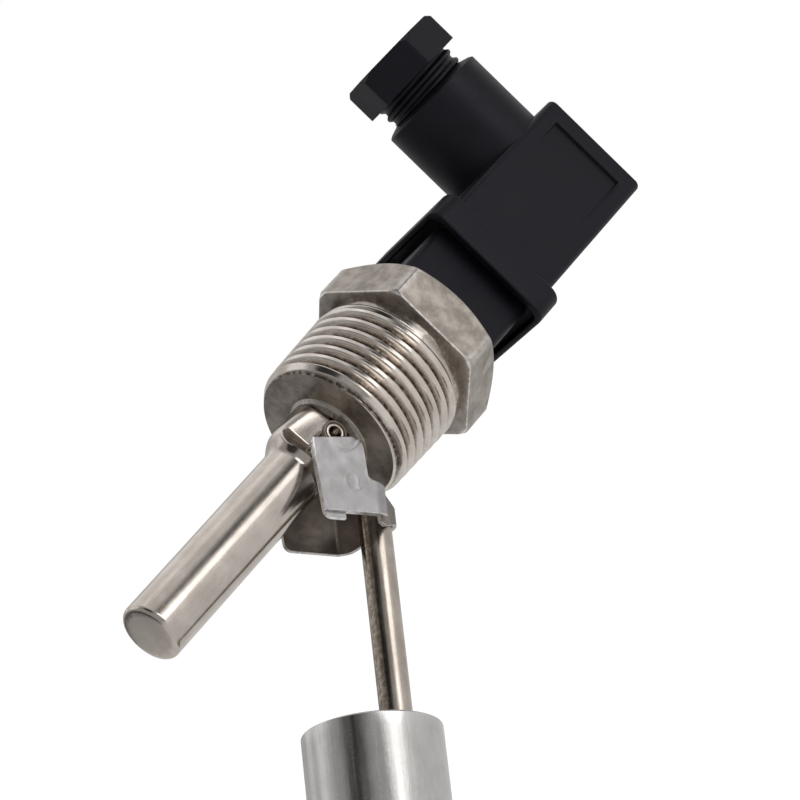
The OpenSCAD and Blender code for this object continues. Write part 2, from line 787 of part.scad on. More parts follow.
// Half of the sheet's face, grown by off: down one ear, round its bend and to the wrap's bottom
function fold_half(off) = concat([[ear_in + off, bend_z]],
    [for (i = [0:bend_steps]) around(bend_c, bend_r + off, fold_turn * i / bend_steps)],
    [for (i = [0:wrap_steps])
        around(rod_c, wrap_r + off, fold_turn - (90 + fold_turn) * i / wrap_steps)]);
function flip(pts) = [for (i = [len(pts) - 1:-1:0]) [-pts[i][0], pts[i][1]]];
function fold_line(off) = concat(fold_half(off), flip(fold_half(off)));
function back(pts) = [for (i = [len(pts) - 1:-1:0]) pts[i]];

// The sheet between two growths of the fold, drawn along the arm
module fold_sheet(off0, off1) {
    rotate([90, 0, 90]) translate([0, 0, -10]) linear_extrude(40)
        polygon(concat(fold_line(off1), back(fold_line(off0))));
}

// A side view of the arm, cut through its whole width
module arm_side(pts, rs) rotate([90, 0, 0]) linear_extrude(60, center = true) polygon(rounded(pts, rs));

// Folded hinge bracket: two ears with the pin holes and a wrap round the rod
module hinge_bracket() {
    color(steel) on_arm() difference() {
        intersection() {
            fold_sheet(0, sheet_t);
            union() {
                arm_side([[0.9, ear_front], [ear_l, ear_front - ear_slant], [ear_l, -bend_z - 1.7],
                    [ear_l - wrap_cut, -wrap_back + 0.9], [ear_l - wrap_cut, -wrap_back - 1],
                    [wrap_top + 1.3, -wrap_back - 1], [wrap_top, -bend_z - 0.4],
                    [wrap_top - 0.5, -ear_back - 0.3], [0.9, -ear_back]],
                    [1, 1.1, 1, 0.8, 0.3, 0.3, 1, 0.8, 1.2]);
                rotate([90, 0, 0]) cylinder(r = ear_head_r, h = 40, center = true);
            }
        }
        rotate([90, 0, 0]) cylinder(r = hole_r, h = 60, center = true);
        translate([notch_x, ear_in - bend_r - 0.4, -bend_z - 0.6]) cube([5, 5, bend_z + 0.4]);
    }
}

// Cover plate welded over the near ear, which keeps the pin in
module cover_plate() {
    color(steel) on_arm() intersection() {
        fold_sheet(sheet_t + seat, 2 * sheet_t + seat);
        translate([0, 30, 0]) arm_side([[1.15, ear_front + 0.25], [cover_l, ear_front - 0.45],
            [cover_l, -bend_z - 1.3], [wrap_top + 0.2, -bend_z - 1.3],
            [wrap_top - 0.5, -ear_back - 0.35], [1.25, -ear_back - 0.1], [0.65, -ear_back + 1.3]],
            [0.3, 0.3, 0.3, 0.8, 0.8, 0.8, 0.3]);
    }
}

// Rod from the bracket to the float
module float_rod() color(steel_dark) on_arm() translate([0, 0, -rod_z]) disc(rod_top, rod_end, rod_r);

// Frame of the float, on its own axis
module on_float() on_arm() translate([float_x, 0, -float_z]) children();

// Dished end of the float, with the hole that the rod is welded in
module float_cap() {
    color(steel) on_float() difference() {
        on_stem() rotate_extrude() polygon([[0, cap_sink], [cap_r - cap_t, cap_sink],
            [cap_r - cap_t, 0], [cap_r, 0], [cap_r, cap_sink + cap_t], [0, cap_sink + cap_t]]);
        translate([0, 0, float_z - rod_z]) disc(-over, 3, rod_r + seat);
    }
}

// Drawn float shell, open at the rod's end
module float_shell() {
    steps = 8;
    function arc(r, x1, c) = [for (i = [0:steps])
        [r - c + c * cos(90 * i / steps), x1 - c + c * sin(90 * i / steps)]];
    inner_c = float_edge_r - float_wall;
    color(steel) on_float() difference() {
        on_stem() rotate_extrude() polygon(concat([[0, 0], [float_r, 0]],
            arc(float_r, float_l, float_edge_r), [[0, float_l]]));
        on_stem() rotate_extrude() polygon(concat([[0, -over], [float_in_r, -over]],
            arc(float_in_r, float_l - float_wall, inner_c), [[0, float_l - float_wall]]));
    }
}

magnet_x0 = cap_sink + cap_t + seat;

// Disc magnet behind the float's end, opposite the stem's tip when the arm is raised
module float_magnet() {
    color(magnet_grey) on_float() translate([0, 0, magnet_z])
        disc(magnet_x0, magnet_x0 + magnet_t, magnet_r);
}

// Cup that holds the magnet to the float's end
module magnet_cup() {
    color(steel) on_float() translate([0, 0, magnet_z]) difference() {
        disc(magnet_x0, magnet_x0 + magnet_t + seat + cup_t, cup_r);
        disc(magnet_x0 - over, magnet_x0 + magnet_t + seat, magnet_r + seat);
    }
}

process_fitting();
stem_tube();
stem_end_plug();
hinge_pin();
reed_glass();
reed_leads();
reed_sleeve();
tip_resin();
lead_wire_a();
lead_wire_b();
earth_wire();
rear_resin();
base_seal();
connector_base();
contact_blade_a();
contact_blade_b();
earth_blade();
base_insert();
profile_gasket();
plug_housing();
contact_carrier();
contact_socket_a();
contact_socket_b();
earth_socket();
terminal_screws();
gland_grommet();
thrust_washer();
gland_nut();
screw_seal();
centre_screw();
hinge_bracket();
cover_plate();
float_rod();
float_cap();
float_shell();
float_magnet();
magnet_cup();
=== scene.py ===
"""Looks of a side mount float switch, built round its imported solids.

Each new piece is a surface worked out as whole arrays on a grid of two parameters. The solids that stay
keep their own meshes, and all have a procedural finish. Sizes are millimetres until a mesh is made.
"""

import json  # noqa: E402
import logging  # noqa: E402
import math  # noqa: E402
from dataclasses import dataclass, field  # noqa: E402
from enum import Enum  # noqa: E402

import bmesh  # noqa: E402
import bpy  # noqa: E402
import numpy as np  # noqa: E402
from mathutils import Matrix, Vector  # noqa: E402


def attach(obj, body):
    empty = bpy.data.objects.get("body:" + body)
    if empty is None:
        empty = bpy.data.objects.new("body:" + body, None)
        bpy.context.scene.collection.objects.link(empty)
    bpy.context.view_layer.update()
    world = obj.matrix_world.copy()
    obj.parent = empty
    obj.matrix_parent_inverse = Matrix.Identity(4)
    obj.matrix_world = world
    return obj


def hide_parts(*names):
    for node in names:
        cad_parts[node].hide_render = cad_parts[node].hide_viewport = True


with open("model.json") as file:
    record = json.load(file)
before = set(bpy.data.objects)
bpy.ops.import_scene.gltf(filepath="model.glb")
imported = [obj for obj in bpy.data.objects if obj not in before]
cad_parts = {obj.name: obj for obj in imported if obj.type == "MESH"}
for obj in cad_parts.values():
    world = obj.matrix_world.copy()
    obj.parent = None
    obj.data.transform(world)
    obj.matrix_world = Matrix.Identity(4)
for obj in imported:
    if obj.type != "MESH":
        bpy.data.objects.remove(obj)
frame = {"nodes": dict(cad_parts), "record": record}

LOG = logging.getLogger("float_switch")
MM = 0.001
TO_MM = (1000, 1000, 1000)
TURN = 2 * math.pi
HALF_FLAT = TURN / 12  # From the middle of a hexagon's flat to its corner.
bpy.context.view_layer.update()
NUMBER, VECTOR, COLOUR = "NodeSocketFloat", "NodeSocketVector", "NodeSocketColor"


class Slot(Enum):
    """Material slots of the record."""

    STAINLESS = "stainless"
    HEX = "hex_steel"
    SHEET = "sheet_steel"
    ROD = "rod_steel"
    FLOAT = "float_steel"
    BLACK = "black_plastic"
    GREY = "grey_plastic"
    RUBBER = "rubber_seal"
    BRASS = "brass_contact"
    POTTING = "potting"
    GLASS = "reed_tube_glass"
    WIRE = "wire_cover"
    FERRITE = "ferrite"


class Body(Enum):
    """Bodies that the new pieces ride on."""

    PLUG = "plug"
    ARM = "arm"
    NUT = "gland_nut_body"


@dataclass(frozen=True)
class Axis:
    """A straight line with two directions across it, on which a shape is laid out."""

    origin: tuple
    along: tuple
    first: tuple
    second: tuple

    def place(self, s: np.ndarray, u: np.ndarray, v: np.ndarray) -> np.ndarray:
        """Gives origin + s times along + u times first + v times second.

        Args:
            s: Distances along the axis.
            u: Distances along the first direction across it.
            v: Distances along the second direction across it.

        Returns:
            Points, with their three coordinates in the last place.
        """
        s, u, v = (value[..., None] for value in np.broadcast_arrays(s, u, v))
        origin, along, first, second = map(np.array, (self.origin, self.along, self.first, self.second))
        return origin + s * along + u * first + v * second


ARM_ANGLE = math.radians(43.4)
PIN_X = 17.9
ALONG_ARM = np.array([math.cos(ARM_ANGLE), 0, -math.sin(ARM_ANGLE)])
ACROSS_ARM = np.array([math.sin(ARM_ANGLE), 0, math.cos(ARM_ANGLE)])


def arm_axis(height: float) -> Axis:
    """The line along the arm at a height above the pin on the arm's own Z, with Y and that Z across it."""
    start = np.array([PIN_X, 0, 0]) + height * ACROSS_ARM
    return Axis(tuple(start), tuple(ALONG_ARM), (0, 1, 0), tuple(ACROSS_ARM))


STEM = Axis((0, 0, 0), (1, 0, 0), (0, 1, 0), (0, 0, 1))
GLAND = Axis((-36.2, 0, 0), (0, 0, 1), (1, 0, 0), (0, 1, 0))
PIN = Axis((PIN_X, 0, 0), (0, 1, 0), (0, 0, 1), (1, 0, 0))


@dataclass(frozen=True)
class Patch:
    """Points, four-sided faces and a value per point for wear and painted light."""

    points: np.ndarray
    faces: np.ndarray
    wear_and_painted_light: np.ndarray


def patch(points: np.ndarray, wear_and_painted_light: np.ndarray | float = 0.0) -> Patch:
    """Joins a grid into faces, two neighbours from each of two rows, and its last column to its first.

    Args:
        points: Grid of points, rows by columns by three.
        wear_and_painted_light: Value per point for wear, painted shade and painted highlight, or per row in a
            column, or one for all.

    Returns:
        The surface.
    """
    rows, columns = points.shape[:2]
    index = np.arange(rows * columns).reshape(rows, columns)
    index = np.concatenate([index, index[:, :1]], axis=1)
    faces = np.stack([index[:-1, :-1], index[1:, :-1], index[1:, 1:], index[:-1, 1:]], axis=-1)
    wear_and_light = np.broadcast_to(wear_and_painted_light, (rows, columns))
    return Patch(points.reshape(-1, 3), faces.reshape(-1, 4), wear_and_light.reshape(-1))


def angles(count: int) -> np.ndarray:
    """Evenly spaced angles of a full turn in one row, the last one left out."""
    return (np.arange(count) * TURN / count)[None, :]


def column(values: np.ndarray | float) -> np.ndarray:
    """Stands a list of values up as a column, and leaves a grid or one value as it is."""
    values = np.asarray(values, float)
    return values[:, None] if values.ndim == 1 else values


def polar(
    axis: Axis, s: np.ndarray, r: np.ndarray, count: int, wear_and_painted_light: np.ndarray | float = 0.0
) -> Patch:
    """A surface round an axis: the point at angle a is s along it and r out, at r cos a and r sin a.

    Args:
        axis: The axis.
        s: Distances along the axis, one per row, or rows by columns.
        r: Radii, one per row, or rows by columns.
        count: Number of columns round the axis.
        wear_and_painted_light: Wear, painted shade and painted highlight per point or per row, or one for
            all.

    Returns:
        The surface, closed round the axis.
    """
    a, s, r = angles(count), column(s), column(r)
    return patch(axis.place(s, r * np.cos(a), r * np.sin(a)), column(wear_and_painted_light))


def fillet_path(points: list, radii: list, steps: int = 6) -> np.ndarray:
    """An open path with rounded corners: each corner becomes an arc that touches both of its legs.

    Args:
        points: Corners of the path, two values each.
        radii: Radius at each inner corner, in order.
        steps: Number of straight steps per arc.

    Returns:
        Points of the rounded path.
    """
    pts = [np.array(p, float) for p in points]
    out = [pts[0][None, :]]
    for a, b, c, r in zip(pts[:-2], pts[1:-1], pts[2:], radii):
        before, after = np.linalg.norm(a - b), np.linalg.norm(c - b)
        u, w = (a - b) / before, (c - b) / after
        half = math.acos(float(np.clip(u @ w, -1, 1))) / 2
        if r <= 0 or half > math.pi / 2 - 1e-4:
            out.append(b[None, :])
            continue
        reach = min(r / math.tan(half), 0.49 * before, 0.49 * after)
        r = reach * math.tan(half)
        middle = b + (u + w) / np.linalg.norm(u + w) * r / math.sin(half)
        p, q = b + u * reach - middle, b + w * reach - middle
        t = np.linspace(0, 1, steps + 1)[:, None]
        opening = math.acos(float(np.clip(p @ q / (r * r), -1, 1)))
        arc = np.sin((1 - t) * opening) * p + np.sin(t * opening) * q
        out.append(middle + arc / math.sin(opening))
    out.append(pts[-1][None, :])
    return np.concatenate(out)


def refine(path: np.ndarray, step: float) -> np.ndarray:
    """Adds points to a path so that no leg is longer than a step: even parts of each long leg.

    Args:
        path: Points of the path.
        step: Longest leg that stays whole.

    Returns:
        The path with its added points.
    """
    out = [path[:1]]
    for a, b in zip(path[:-1], path[1:]):
        parts = max(1, int(np.ceil(np.linalg.norm(b - a) / step)))
        t = np.linspace(0, 1, parts + 1)[1:, None]
        out.append(a + t * (b - a))
    return np.concatenate(out)


def smooth_step(x: np.ndarray, low: float, high: float) -> np.ndarray:
    """Rises from 0 at low to 1 at high as 3 t squared minus 2 t cubed."""
    t = np.clip((x - low) / (high - low), 0, 1)
    return t * t * (3 - 2 * t)


def soft_min(a: np.ndarray, b: np.ndarray, k: float) -> np.ndarray:
    """The lower of two values, with a round of size k where they meet."""
    h = np.clip(0.5 + 0.5 * (b - a) / k, 0, 1)
    return b * (1 - h) + a * h - k * h * (1 - h)


def bell(x: np.ndarray, middle: float, width: float) -> np.ndarray:
    """A bell curve of height 1: e to the power of minus the square of the distance over the width."""
    return np.exp(-(((x - middle) / width) ** 2))


def round_off(past: np.ndarray, r: float) -> np.ndarray:
    """Fall of a quarter round: r less the root of r squared less the way past its start squared."""
    return r - np.sqrt(np.clip(r**2 - np.clip(past, 0, r) ** 2, 0, None))


def ridge(place: np.ndarray, pitch: float, a: np.ndarray) -> np.ndarray:
    """A thread's V: from the part left over of place over pitch less the turn, 1 at its ends, 0 midway."""
    return np.abs(np.mod(place / pitch - a / TURN, 1) * 2 - 1)


def rounded_box_rows(
    hy: np.ndarray, hz: np.ndarray, r: np.ndarray, side: np.ndarray, corner: int
) -> tuple:
    """Outlines of rounded rectangles: four straight sides split at the side values, four quarter arcs.

    Args:
        hy: Half widths, one per row.
        hz: Half heights, one per row.
        r: Corner radii, one per row.
        side: Values from 0 to 1 at which each side is split.
        corner: Number of steps per corner arc.

    Returns:
        The outlines' y and z, rows by columns.
    """
    hy, hz, r = (column(v) for v in (hy, hz, r))
    r = np.minimum(r, np.minimum(hy, hz) * 0.999)
    arc = np.linspace(0, math.pi / 2, corner + 1)[None, 1:-1]
    line = side[None, :] * 2 - 1
    ay, az, cos, sin = hy - r, hz - r, r * np.cos(arc), r * np.sin(arc)
    ones = np.ones_like(line)
    y = [hy * ones, ay + cos, -line * ay, -ay - sin]
    z = [line * az, az + sin, hz * ones, az + cos]
    # The second half is the first, turned by half a turn.
    y, z = (np.concatenate([*v, *(-part for part in v)], axis=1) for v in (y, z))
    return y, z


def hex_radius(a: np.ndarray, flat: float, turn: float, soft: float) -> np.ndarray:
    """Radius of a hexagon at an angle: half its width over the cosine of the angle from a flat's middle.

    Args:
        a: Angles.
        flat: Half of the width across the flats.
        turn: Angle of the first corner.
        soft: Radius taken off at the corners.

    Returns:
        The radii.
    """
    off = np.mod(a - turn, TURN / 6) - HALF_FLAT
    return soft_min(flat / np.cos(off), np.full_like(a, flat / math.cos(HALF_FLAT) - soft), soft)


def flat_cap(axis: Axis, s: float, u: np.ndarray, v: np.ndarray, r: float, rings: int) -> Patch:
    """A flat face between an outline and a circle: each ring lies evenly between the two.

    Args:
        axis: Axis that the face stands across.
        s: Place along the axis.
        u: The outline's first values.
        v: The outline's second values.
        r: Radius of the inner circle.
        rings: Number of steps.

    Returns:
        The face.
    """
    a = np.arctan2(v, u)
    t = np.linspace(0, 1, rings + 1)[:, None]
    return patch(axis.place(s, u + t * (r * np.cos(a) - u), v + t * (r * np.sin(a) - v)))


def show(name: str, data: bpy.types.ID) -> bpy.types.Object:
    """Makes an object of a mesh, lamp or camera and puts it in the scene."""
    made = bpy.data.objects.new(name, data)
    bpy.context.scene.collection.objects.link(made)
    return made


def numbered(values: tuple) -> dict:
    """Values by the numbers of a node's inputs, as n0, n1 and so on."""
    return {f"n{i}": value for i, value in enumerate(values)}


class Wiring:
    """Adds nodes to a node tree and joins them."""

    def __init__(self, tree: bpy.types.NodeTree) -> None:
        """Keeps the tree."""
        self.tree = tree

    def fill(self, socket: bpy.types.NodeSocket, value: object) -> None:
        """Joins an input to another socket, or sets its value."""
        if isinstance(value, bpy.types.NodeSocket):
            self.tree.links.new(value, socket)
        else:
            socket.default_value = value

    def add(self, kind: str, settings: dict | None = None, **inputs: object) -> bpy.types.Node:
        """Adds a node, sets its options and fills its inputs with values or with other sockets.

        Args:
            kind: The node's type.
            settings: Options by name.
            inputs: Values or sockets by input name, or by number as n0, n1.

        Returns:
            The node.
        """
        node = self.tree.nodes.new(kind)
        for key, value in (settings or {}).items():
            setattr(node, key, value)
        for key, value in inputs.items():
            by_number = key[0] == "n" and key[1:].isdigit()
            self.fill(node.inputs[int(key[1:]) if by_number else key], value)
        return node

    def math(self, operation: str, *values: object) -> bpy.types.NodeSocket:
        """One calculation on one to three values or sockets."""
        return self.add("ShaderNodeMath", {"operation": operation}, **numbered(values)).outputs[0]

    def swing(self, value: bpy.types.NodeSocket, amount: object) -> bpy.types.NodeSocket:
        """A value that swings about one half, made to swing about 0 by an amount."""
        return self.math("MULTIPLY", self.math("SUBTRACT", value, 0.5), amount)

    def ramp(self, value: bpy.types.NodeSocket, *ends: float) -> bpy.types.NodeSocket:
        """Maps a value smoothly: the ends are its range's low and high one, and the results there."""
        smooth = {"interpolation_type": "SMOOTHSTEP"}
        return self.add("ShaderNodeMapRange", smooth, **numbered((value, *ends))).outputs[0]

    def mix(self, amount: object, first: object, second: object) -> bpy.types.NodeSocket:
        """Mixes two colours by the share of the second."""
        node = self.add("ShaderNodeMix", {"data_type": "RGBA"}, n0=amount, n6=first, n7=second)
        return node.outputs[2]

    def noise(self, vector: bpy.types.NodeSocket, *values: object) -> bpy.types.NodeSocket:
        """A noise on coordinates, with its scale, detail and roughness as values."""
        settings = dict(zip(("Scale", "Detail", "Roughness"), values))
        return self.add("ShaderNodeTexNoise", None, Vector=vector, **settings).outputs[0]

    def mapped(self, vector: bpy.types.NodeSocket, **inputs: object) -> bpy.types.NodeSocket:
        """Coordinates that are turned or scaled."""
        return self.add("ShaderNodeMapping", None, Vector=vector, **inputs).outputs[0]

    def group(self, tree: bpy.types.NodeTree, *values: object) -> list:
        """Places a shader group, fills its inputs in order and gives what it puts out."""
        return list(self.add("ShaderNodeGroup", {"node_tree": tree}, **numbered(values)).outputs)

    def wear_and_painted_light(self) -> bpy.types.NodeSocket:
        """The piece's own value for wear, painted shade and painted highlight."""
        return self.add("ShaderNodeAttribute", {"attribute_name": "wear_and_painted_light"}).outputs["Fac"]

    def bump(self, strength: float, distance: float, height: bpy.types.NodeSocket) -> bpy.types.NodeSocket:
        """A bump from a height."""
        node = self.add("ShaderNodeBump", None, Strength=strength, Distance=distance, Height=height)
        return node.outputs[0]


def new_group(name: str, inputs: dict, outputs: dict) -> tuple:
    """Makes a shader node group with named sockets.

    Args:
        name: The group's name.
        inputs: Types of the inputs by name.
        outputs: Types of the outputs by name.

    Returns:
        The group, its wiring, what comes in and what goes out.
    """
    group = bpy.data.node_groups.new(name, "ShaderNodeTree")
    for direction, sockets in (("INPUT", inputs), ("OUTPUT", outputs)):
        for label, kind in sockets.items():
            group.interface.new_socket(label, in_out=direction, socket_type=kind)
    w = Wiring(group)
    return group, w, w.add("NodeGroupInput").outputs, w.add("NodeGroupOutput").inputs


class Effects:
    """Shader groups that more than one finish uses."""

    def __init__(self) -> None:
        """Builds the groups."""
        self.grain = self.make_grain()
        self.drawn = self.make_drawn()
        self.wear_and_light_mix = self.make_wear_and_light_mix()

    @staticmethod
    def make_grain() -> bpy.types.NodeTree:
        """Blotches and fine grain: a slow noise and a fast one, each centred on one half."""
        group, w, given, result = new_group(
            "surface_grain",
            {"Vector": VECTOR, "Blotch Scale": NUMBER, "Grain Scale": NUMBER},
            {"Blotch": NUMBER, "Grain": NUMBER},
        )
        w.fill(result[0], w.ramp(w.noise(given[0], given[1], 4.0, 0.6), 0.3, 0.7, 0.0, 1.0))
        w.fill(result[1], w.noise(given[0], given[2], 3.0, 0.55))
        return group

    @staticmethod
    def make_drawn() -> bpy.types.NodeTree:
        """Drawing lines: noise on coordinates that are squeezed along one direction by the material."""
        group, w, given, result = new_group(
            "drawn_lines", {"Vector": VECTOR, "Contrast": NUMBER}, {"Lines": NUMBER, "Bands": NUMBER}
        )
        fine, wide = w.noise(given[0], 9.0, 5.0, 0.7), w.noise(given[0], 1.4, 2.0, 0.5)
        w.fill(result[0], w.math("ADD", w.swing(fine, given[1]), 0.5))
        w.fill(result[1], w.ramp(wide, 0.32, 0.68, 0.0, 1.0))
        return group

    @staticmethod
    def make_wear_and_light_mix() -> bpy.types.NodeTree:
        """The wear value, broken up by noise, mixes a second colour over the plain one: rubbed edges on some
        pieces, painted shade in the thread's roots and on one side of the rod, painted highlight on sheet
        edges and the float's rim.
        """
        group, w, given, result = new_group(
            "wear_and_painted_light_mix",
            {"Vector": VECTOR, "Wear And Painted Light": NUMBER, "Colour": COLOUR, "Wear And Light Colour": COLOUR},
            {"Colour": COLOUR, "Mask": NUMBER},
        )
        broken = w.ramp(w.noise(given[0], 1.6, 4.0, 0.65), 0.3, 0.62, 0.35, 1.0)
        mask = w.math("MULTIPLY", given[1], broken)
        w.fill(result[0], w.mix(mask, given[2], given[3]))
        w.fill(result[1], mask)
        return group


def begin_material(name: str, settings: dict) -> tuple:
    """Makes a material with one shader whose plain values are set on its own sockets.

    Args:
        name: The material's name.
        settings: The shader's values by socket name.

    Returns:
        The material, its wiring and its shader node's inputs.
    """
    material = bpy.data.materials.new(name)
    material.use_nodes = True
    inputs = material.node_tree.nodes["Principled BSDF"].inputs
    for key, value in settings.items():
        inputs[key].default_value = value
    return material, Wiring(material.node_tree), inputs


def rgba(colour: tuple) -> tuple:
    """A colour with full opacity."""
    return (*colour, 1.0)


@dataclass(frozen=True)
class Steel:
    """A steel finish: drawn or ground lines along one direction, blotches, and a colour mixed in by the wear
    value: rubbed edges, and on some pieces painted shade and painted highlight.
    """

    name: str
    colour: tuple
    dark: tuple
    wear_and_light: tuple
    roughness: float
    stretch: tuple
    turn: tuple = (0.0, 0.0, 0.0)
    lines: float = 0.5
    line_share: float = 0.9
    blotch: float = 0.35
    blotch_scale: float = 0.25
    grain_scale: float = 2.5
    grain_rough: float = 0.05
    grain_height: float = 0.4
    bump: float = 0.06
    bump_reach: float = 0.00008
    rough_swing: float = 0.1

    def material(self, effects: Effects) -> bpy.types.Material:
        """Makes the material: colour and roughness follow the lines, the blotches and the wear value, which
        carries painted shade and painted highlight too.

        Args:
            effects: The shared shader groups.

        Returns:
            The material.
        """
        made, w, shader = begin_material(self.name, {"Metallic": 1.0, "IOR": 2.5})
        turned = w.mapped(w.add("ShaderNodeTexCoord").outputs["Object"], Rotation=self.turn, Scale=TO_MM)
        lines, bands = w.group(effects.drawn, w.mapped(turned, Scale=self.stretch), self.lines * 2)
        blotch, grain = w.group(effects.grain, turned, self.blotch_scale, self.grain_scale)
        shade = w.math("ADD", w.swing(blotch, self.blotch), w.swing(lines, self.line_share))
        shade = w.add("ShaderNodeClamp", None, n0=w.math("ADD", shade, 0.5)).outputs[0]
        base = w.mix(shade, rgba(self.dark), rgba(self.colour))
        w.fill(shader["Base Color"], w.group(effects.wear_and_light_mix, turned, w.wear_and_painted_light(), base, rgba(self.wear_and_light))[0])
        rough = w.math("ADD", w.swing(bands, self.rough_swing), self.roughness)
        w.fill(shader["Roughness"], w.math("ADD", rough, w.math("MULTIPLY", grain, self.grain_rough)))
        height = w.math("ADD", lines, w.math("MULTIPLY", grain, self.grain_height))
        w.fill(shader["Normal"], w.bump(self.bump, self.bump_reach, height))
        return made


@dataclass(frozen=True)
class Moulded:
    """A moulded plastic or rubber finish: a fine spark-eroded skin and paler rubbed edges."""

    name: str
    colour: tuple
    pale: tuple
    roughness: float
    bump: float = 0.25
    bump_reach: float = 0.00006
    grain_scale: float = 4.0
    blotch_scale: float = 0.22
    pale_share: float = 0.35
    rough_swing: float = 0.08
    specular: float = 0.5
    settings: dict = field(default_factory=dict)

    def material(self, effects: Effects) -> bpy.types.Material:
        """Makes the material: the grain gives the bump, the blotches swing colour and roughness.

        Args:
            effects: The shared shader groups.

        Returns:
            The material.
        """
        plain = {"Metallic": 0.0, "IOR": 1.5, "Specular IOR Level": self.specular, **self.settings}
        made, w, shader = begin_material(self.name, plain)
        scaled = w.mapped(w.add("ShaderNodeTexCoord").outputs["Object"], Scale=TO_MM)
        blotch, grain = w.group(effects.grain, scaled, self.blotch_scale, self.grain_scale)
        base = w.mix(w.math("MULTIPLY", blotch, self.pale_share), rgba(self.colour), rgba(self.pale))
        w.fill(shader["Base Color"], w.group(effects.wear_and_light_mix, scaled, w.wear_and_painted_light(), base, rgba(self.pale))[0])
        w.fill(shader["Roughness"], w.math("MULTIPLY_ADD", blotch, self.rough_swing, self.roughness))
        w.fill(shader["Normal"], w.bump(self.bump, self.bump_reach, grain))
        return made


ARM_TURN = (0.0, -ARM_ANGLE, 0.0)


class Look(Enum):
    """All finishes of the part. A steel's colours are plain, dark, and the one that the wear value mixes in:
    worn metal for most, painted shade for the thread and rod, painted highlight for the sheet and float; then
    roughness and stretch.

    A look with the name of a slot is the one of the solids in that slot.
    """

    STAINLESS = Steel(
        "drawn_stem", (0.812, 0.745, 0.681), (0.447, 0.392, 0.342), (0.5, 0.45, 0.4), 0.14, (0.05, 1, 1),
        rough_swing=0.06,
    )
    HEX = Steel(
        "turned_hex", (0.528, 0.474, 0.427), (0.233, 0.203, 0.174), (0.92, 0.9, 0.87), 0.32, (1, 0.3, 0.3),
        lines=0.35, blotch=0.7, blotch_scale=0.5, bump=0.25, rough_swing=0.12,
    )
    # The third colour is painted shade, for the thread's roots and the relief next to the hex.
    THREAD = Steel(
        "cut_thread", (0.893, 0.827, 0.766), (0.548, 0.488, 0.432), (0.08, 0.055, 0.04), 0.12, (1, 0.2, 0.2),
        lines=0.4, blotch=0.4, blotch_scale=0.4, bump=0.08, rough_swing=0.06,
    )
    # The third colour is a painted highlight, for the sheet's cut edges.
    SHEET = Steel(
        "rolled_sheet", (0.48, 0.462, 0.466), (0.33, 0.313, 0.316), (0.98, 0.97, 0.96), 0.34, (0.4, 1, 1),
        ARM_TURN, lines=0.2, blotch=0.5, blotch_scale=0.35, bump=0.1,
    )
    # Painted shade: a darker copy of the sheet steel, for the web, the far half and the eyes; its third
    # colour is a painted highlight for their edges.
    SHADED_SHEET = Steel(
        "sheet_painted_shade", (0.264, 0.227, 0.197), (0.132, 0.111, 0.094), (0.75, 0.73, 0.7), 0.4, (1, 1, 0.3),
        ARM_TURN, lines=0.4, blotch=0.7, blotch_scale=0.3, bump=0.12,
    )
    # The third colour is painted shade, for one side of the rod.
    ROD = Steel(
        "drawn_rod", (0.67, 0.609, 0.549), (0.325, 0.276, 0.225), (0.15, 0.12, 0.09), 0.2, (0.06, 1, 1),
        ARM_TURN, lines=0.6,
    )
    # The third colour is a painted highlight, for the float's rim.
    FLOAT = Steel(
        "brushed_float", (0.72, 0.705, 0.69), (0.5, 0.485, 0.465), (0.88, 0.87, 0.85), 0.2, (0.05, 1, 1),
        ARM_TURN, lines=0.65, blotch=0.3, bump=0.1,
    )
    BRASS = Steel(
        "contact_brass", (0.83, 0.66, 0.33), (0.6, 0.42, 0.18), (0.9, 0.78, 0.5), 0.28, (1, 0.3, 0.3)
    )
    BLACK = Moulded(
        "black_shell", (0.003, 0.0027, 0.0046), (0.0078, 0.0072, 0.0118), 0.4, specular=0.27,
        settings={"Specular Tint": (0.9, 0.87, 1.0, 1.0)},
    )
    GREY = Moulded("grey_carrier", (0.2, 0.2, 0.21), (0.3, 0.3, 0.31), 0.5)
    RUBBER = Moulded("rubber_ring", (0.02, 0.02, 0.02), (0.05, 0.05, 0.05), 0.65, 0.4)
    POTTING = Moulded("potting_resin", (0.09, 0.06, 0.04), (0.16, 0.12, 0.09), 0.3, 0.1)
    FERRITE = Moulded("magnet_ferrite", (0.05, 0.05, 0.055), (0.1, 0.1, 0.1), 0.55)
    WIRE = Moulded("wire_cover", (0.4, 0.07, 0.04), (0.5, 0.15, 0.1), 0.4, 0.1)
    GLASS = Moulded(
        "reed_glass_skin", (0.75, 0.88, 0.82), (0.85, 0.92, 0.9), 0.05, 0.02,
        settings={"Transmission Weight": 1.0},
    )


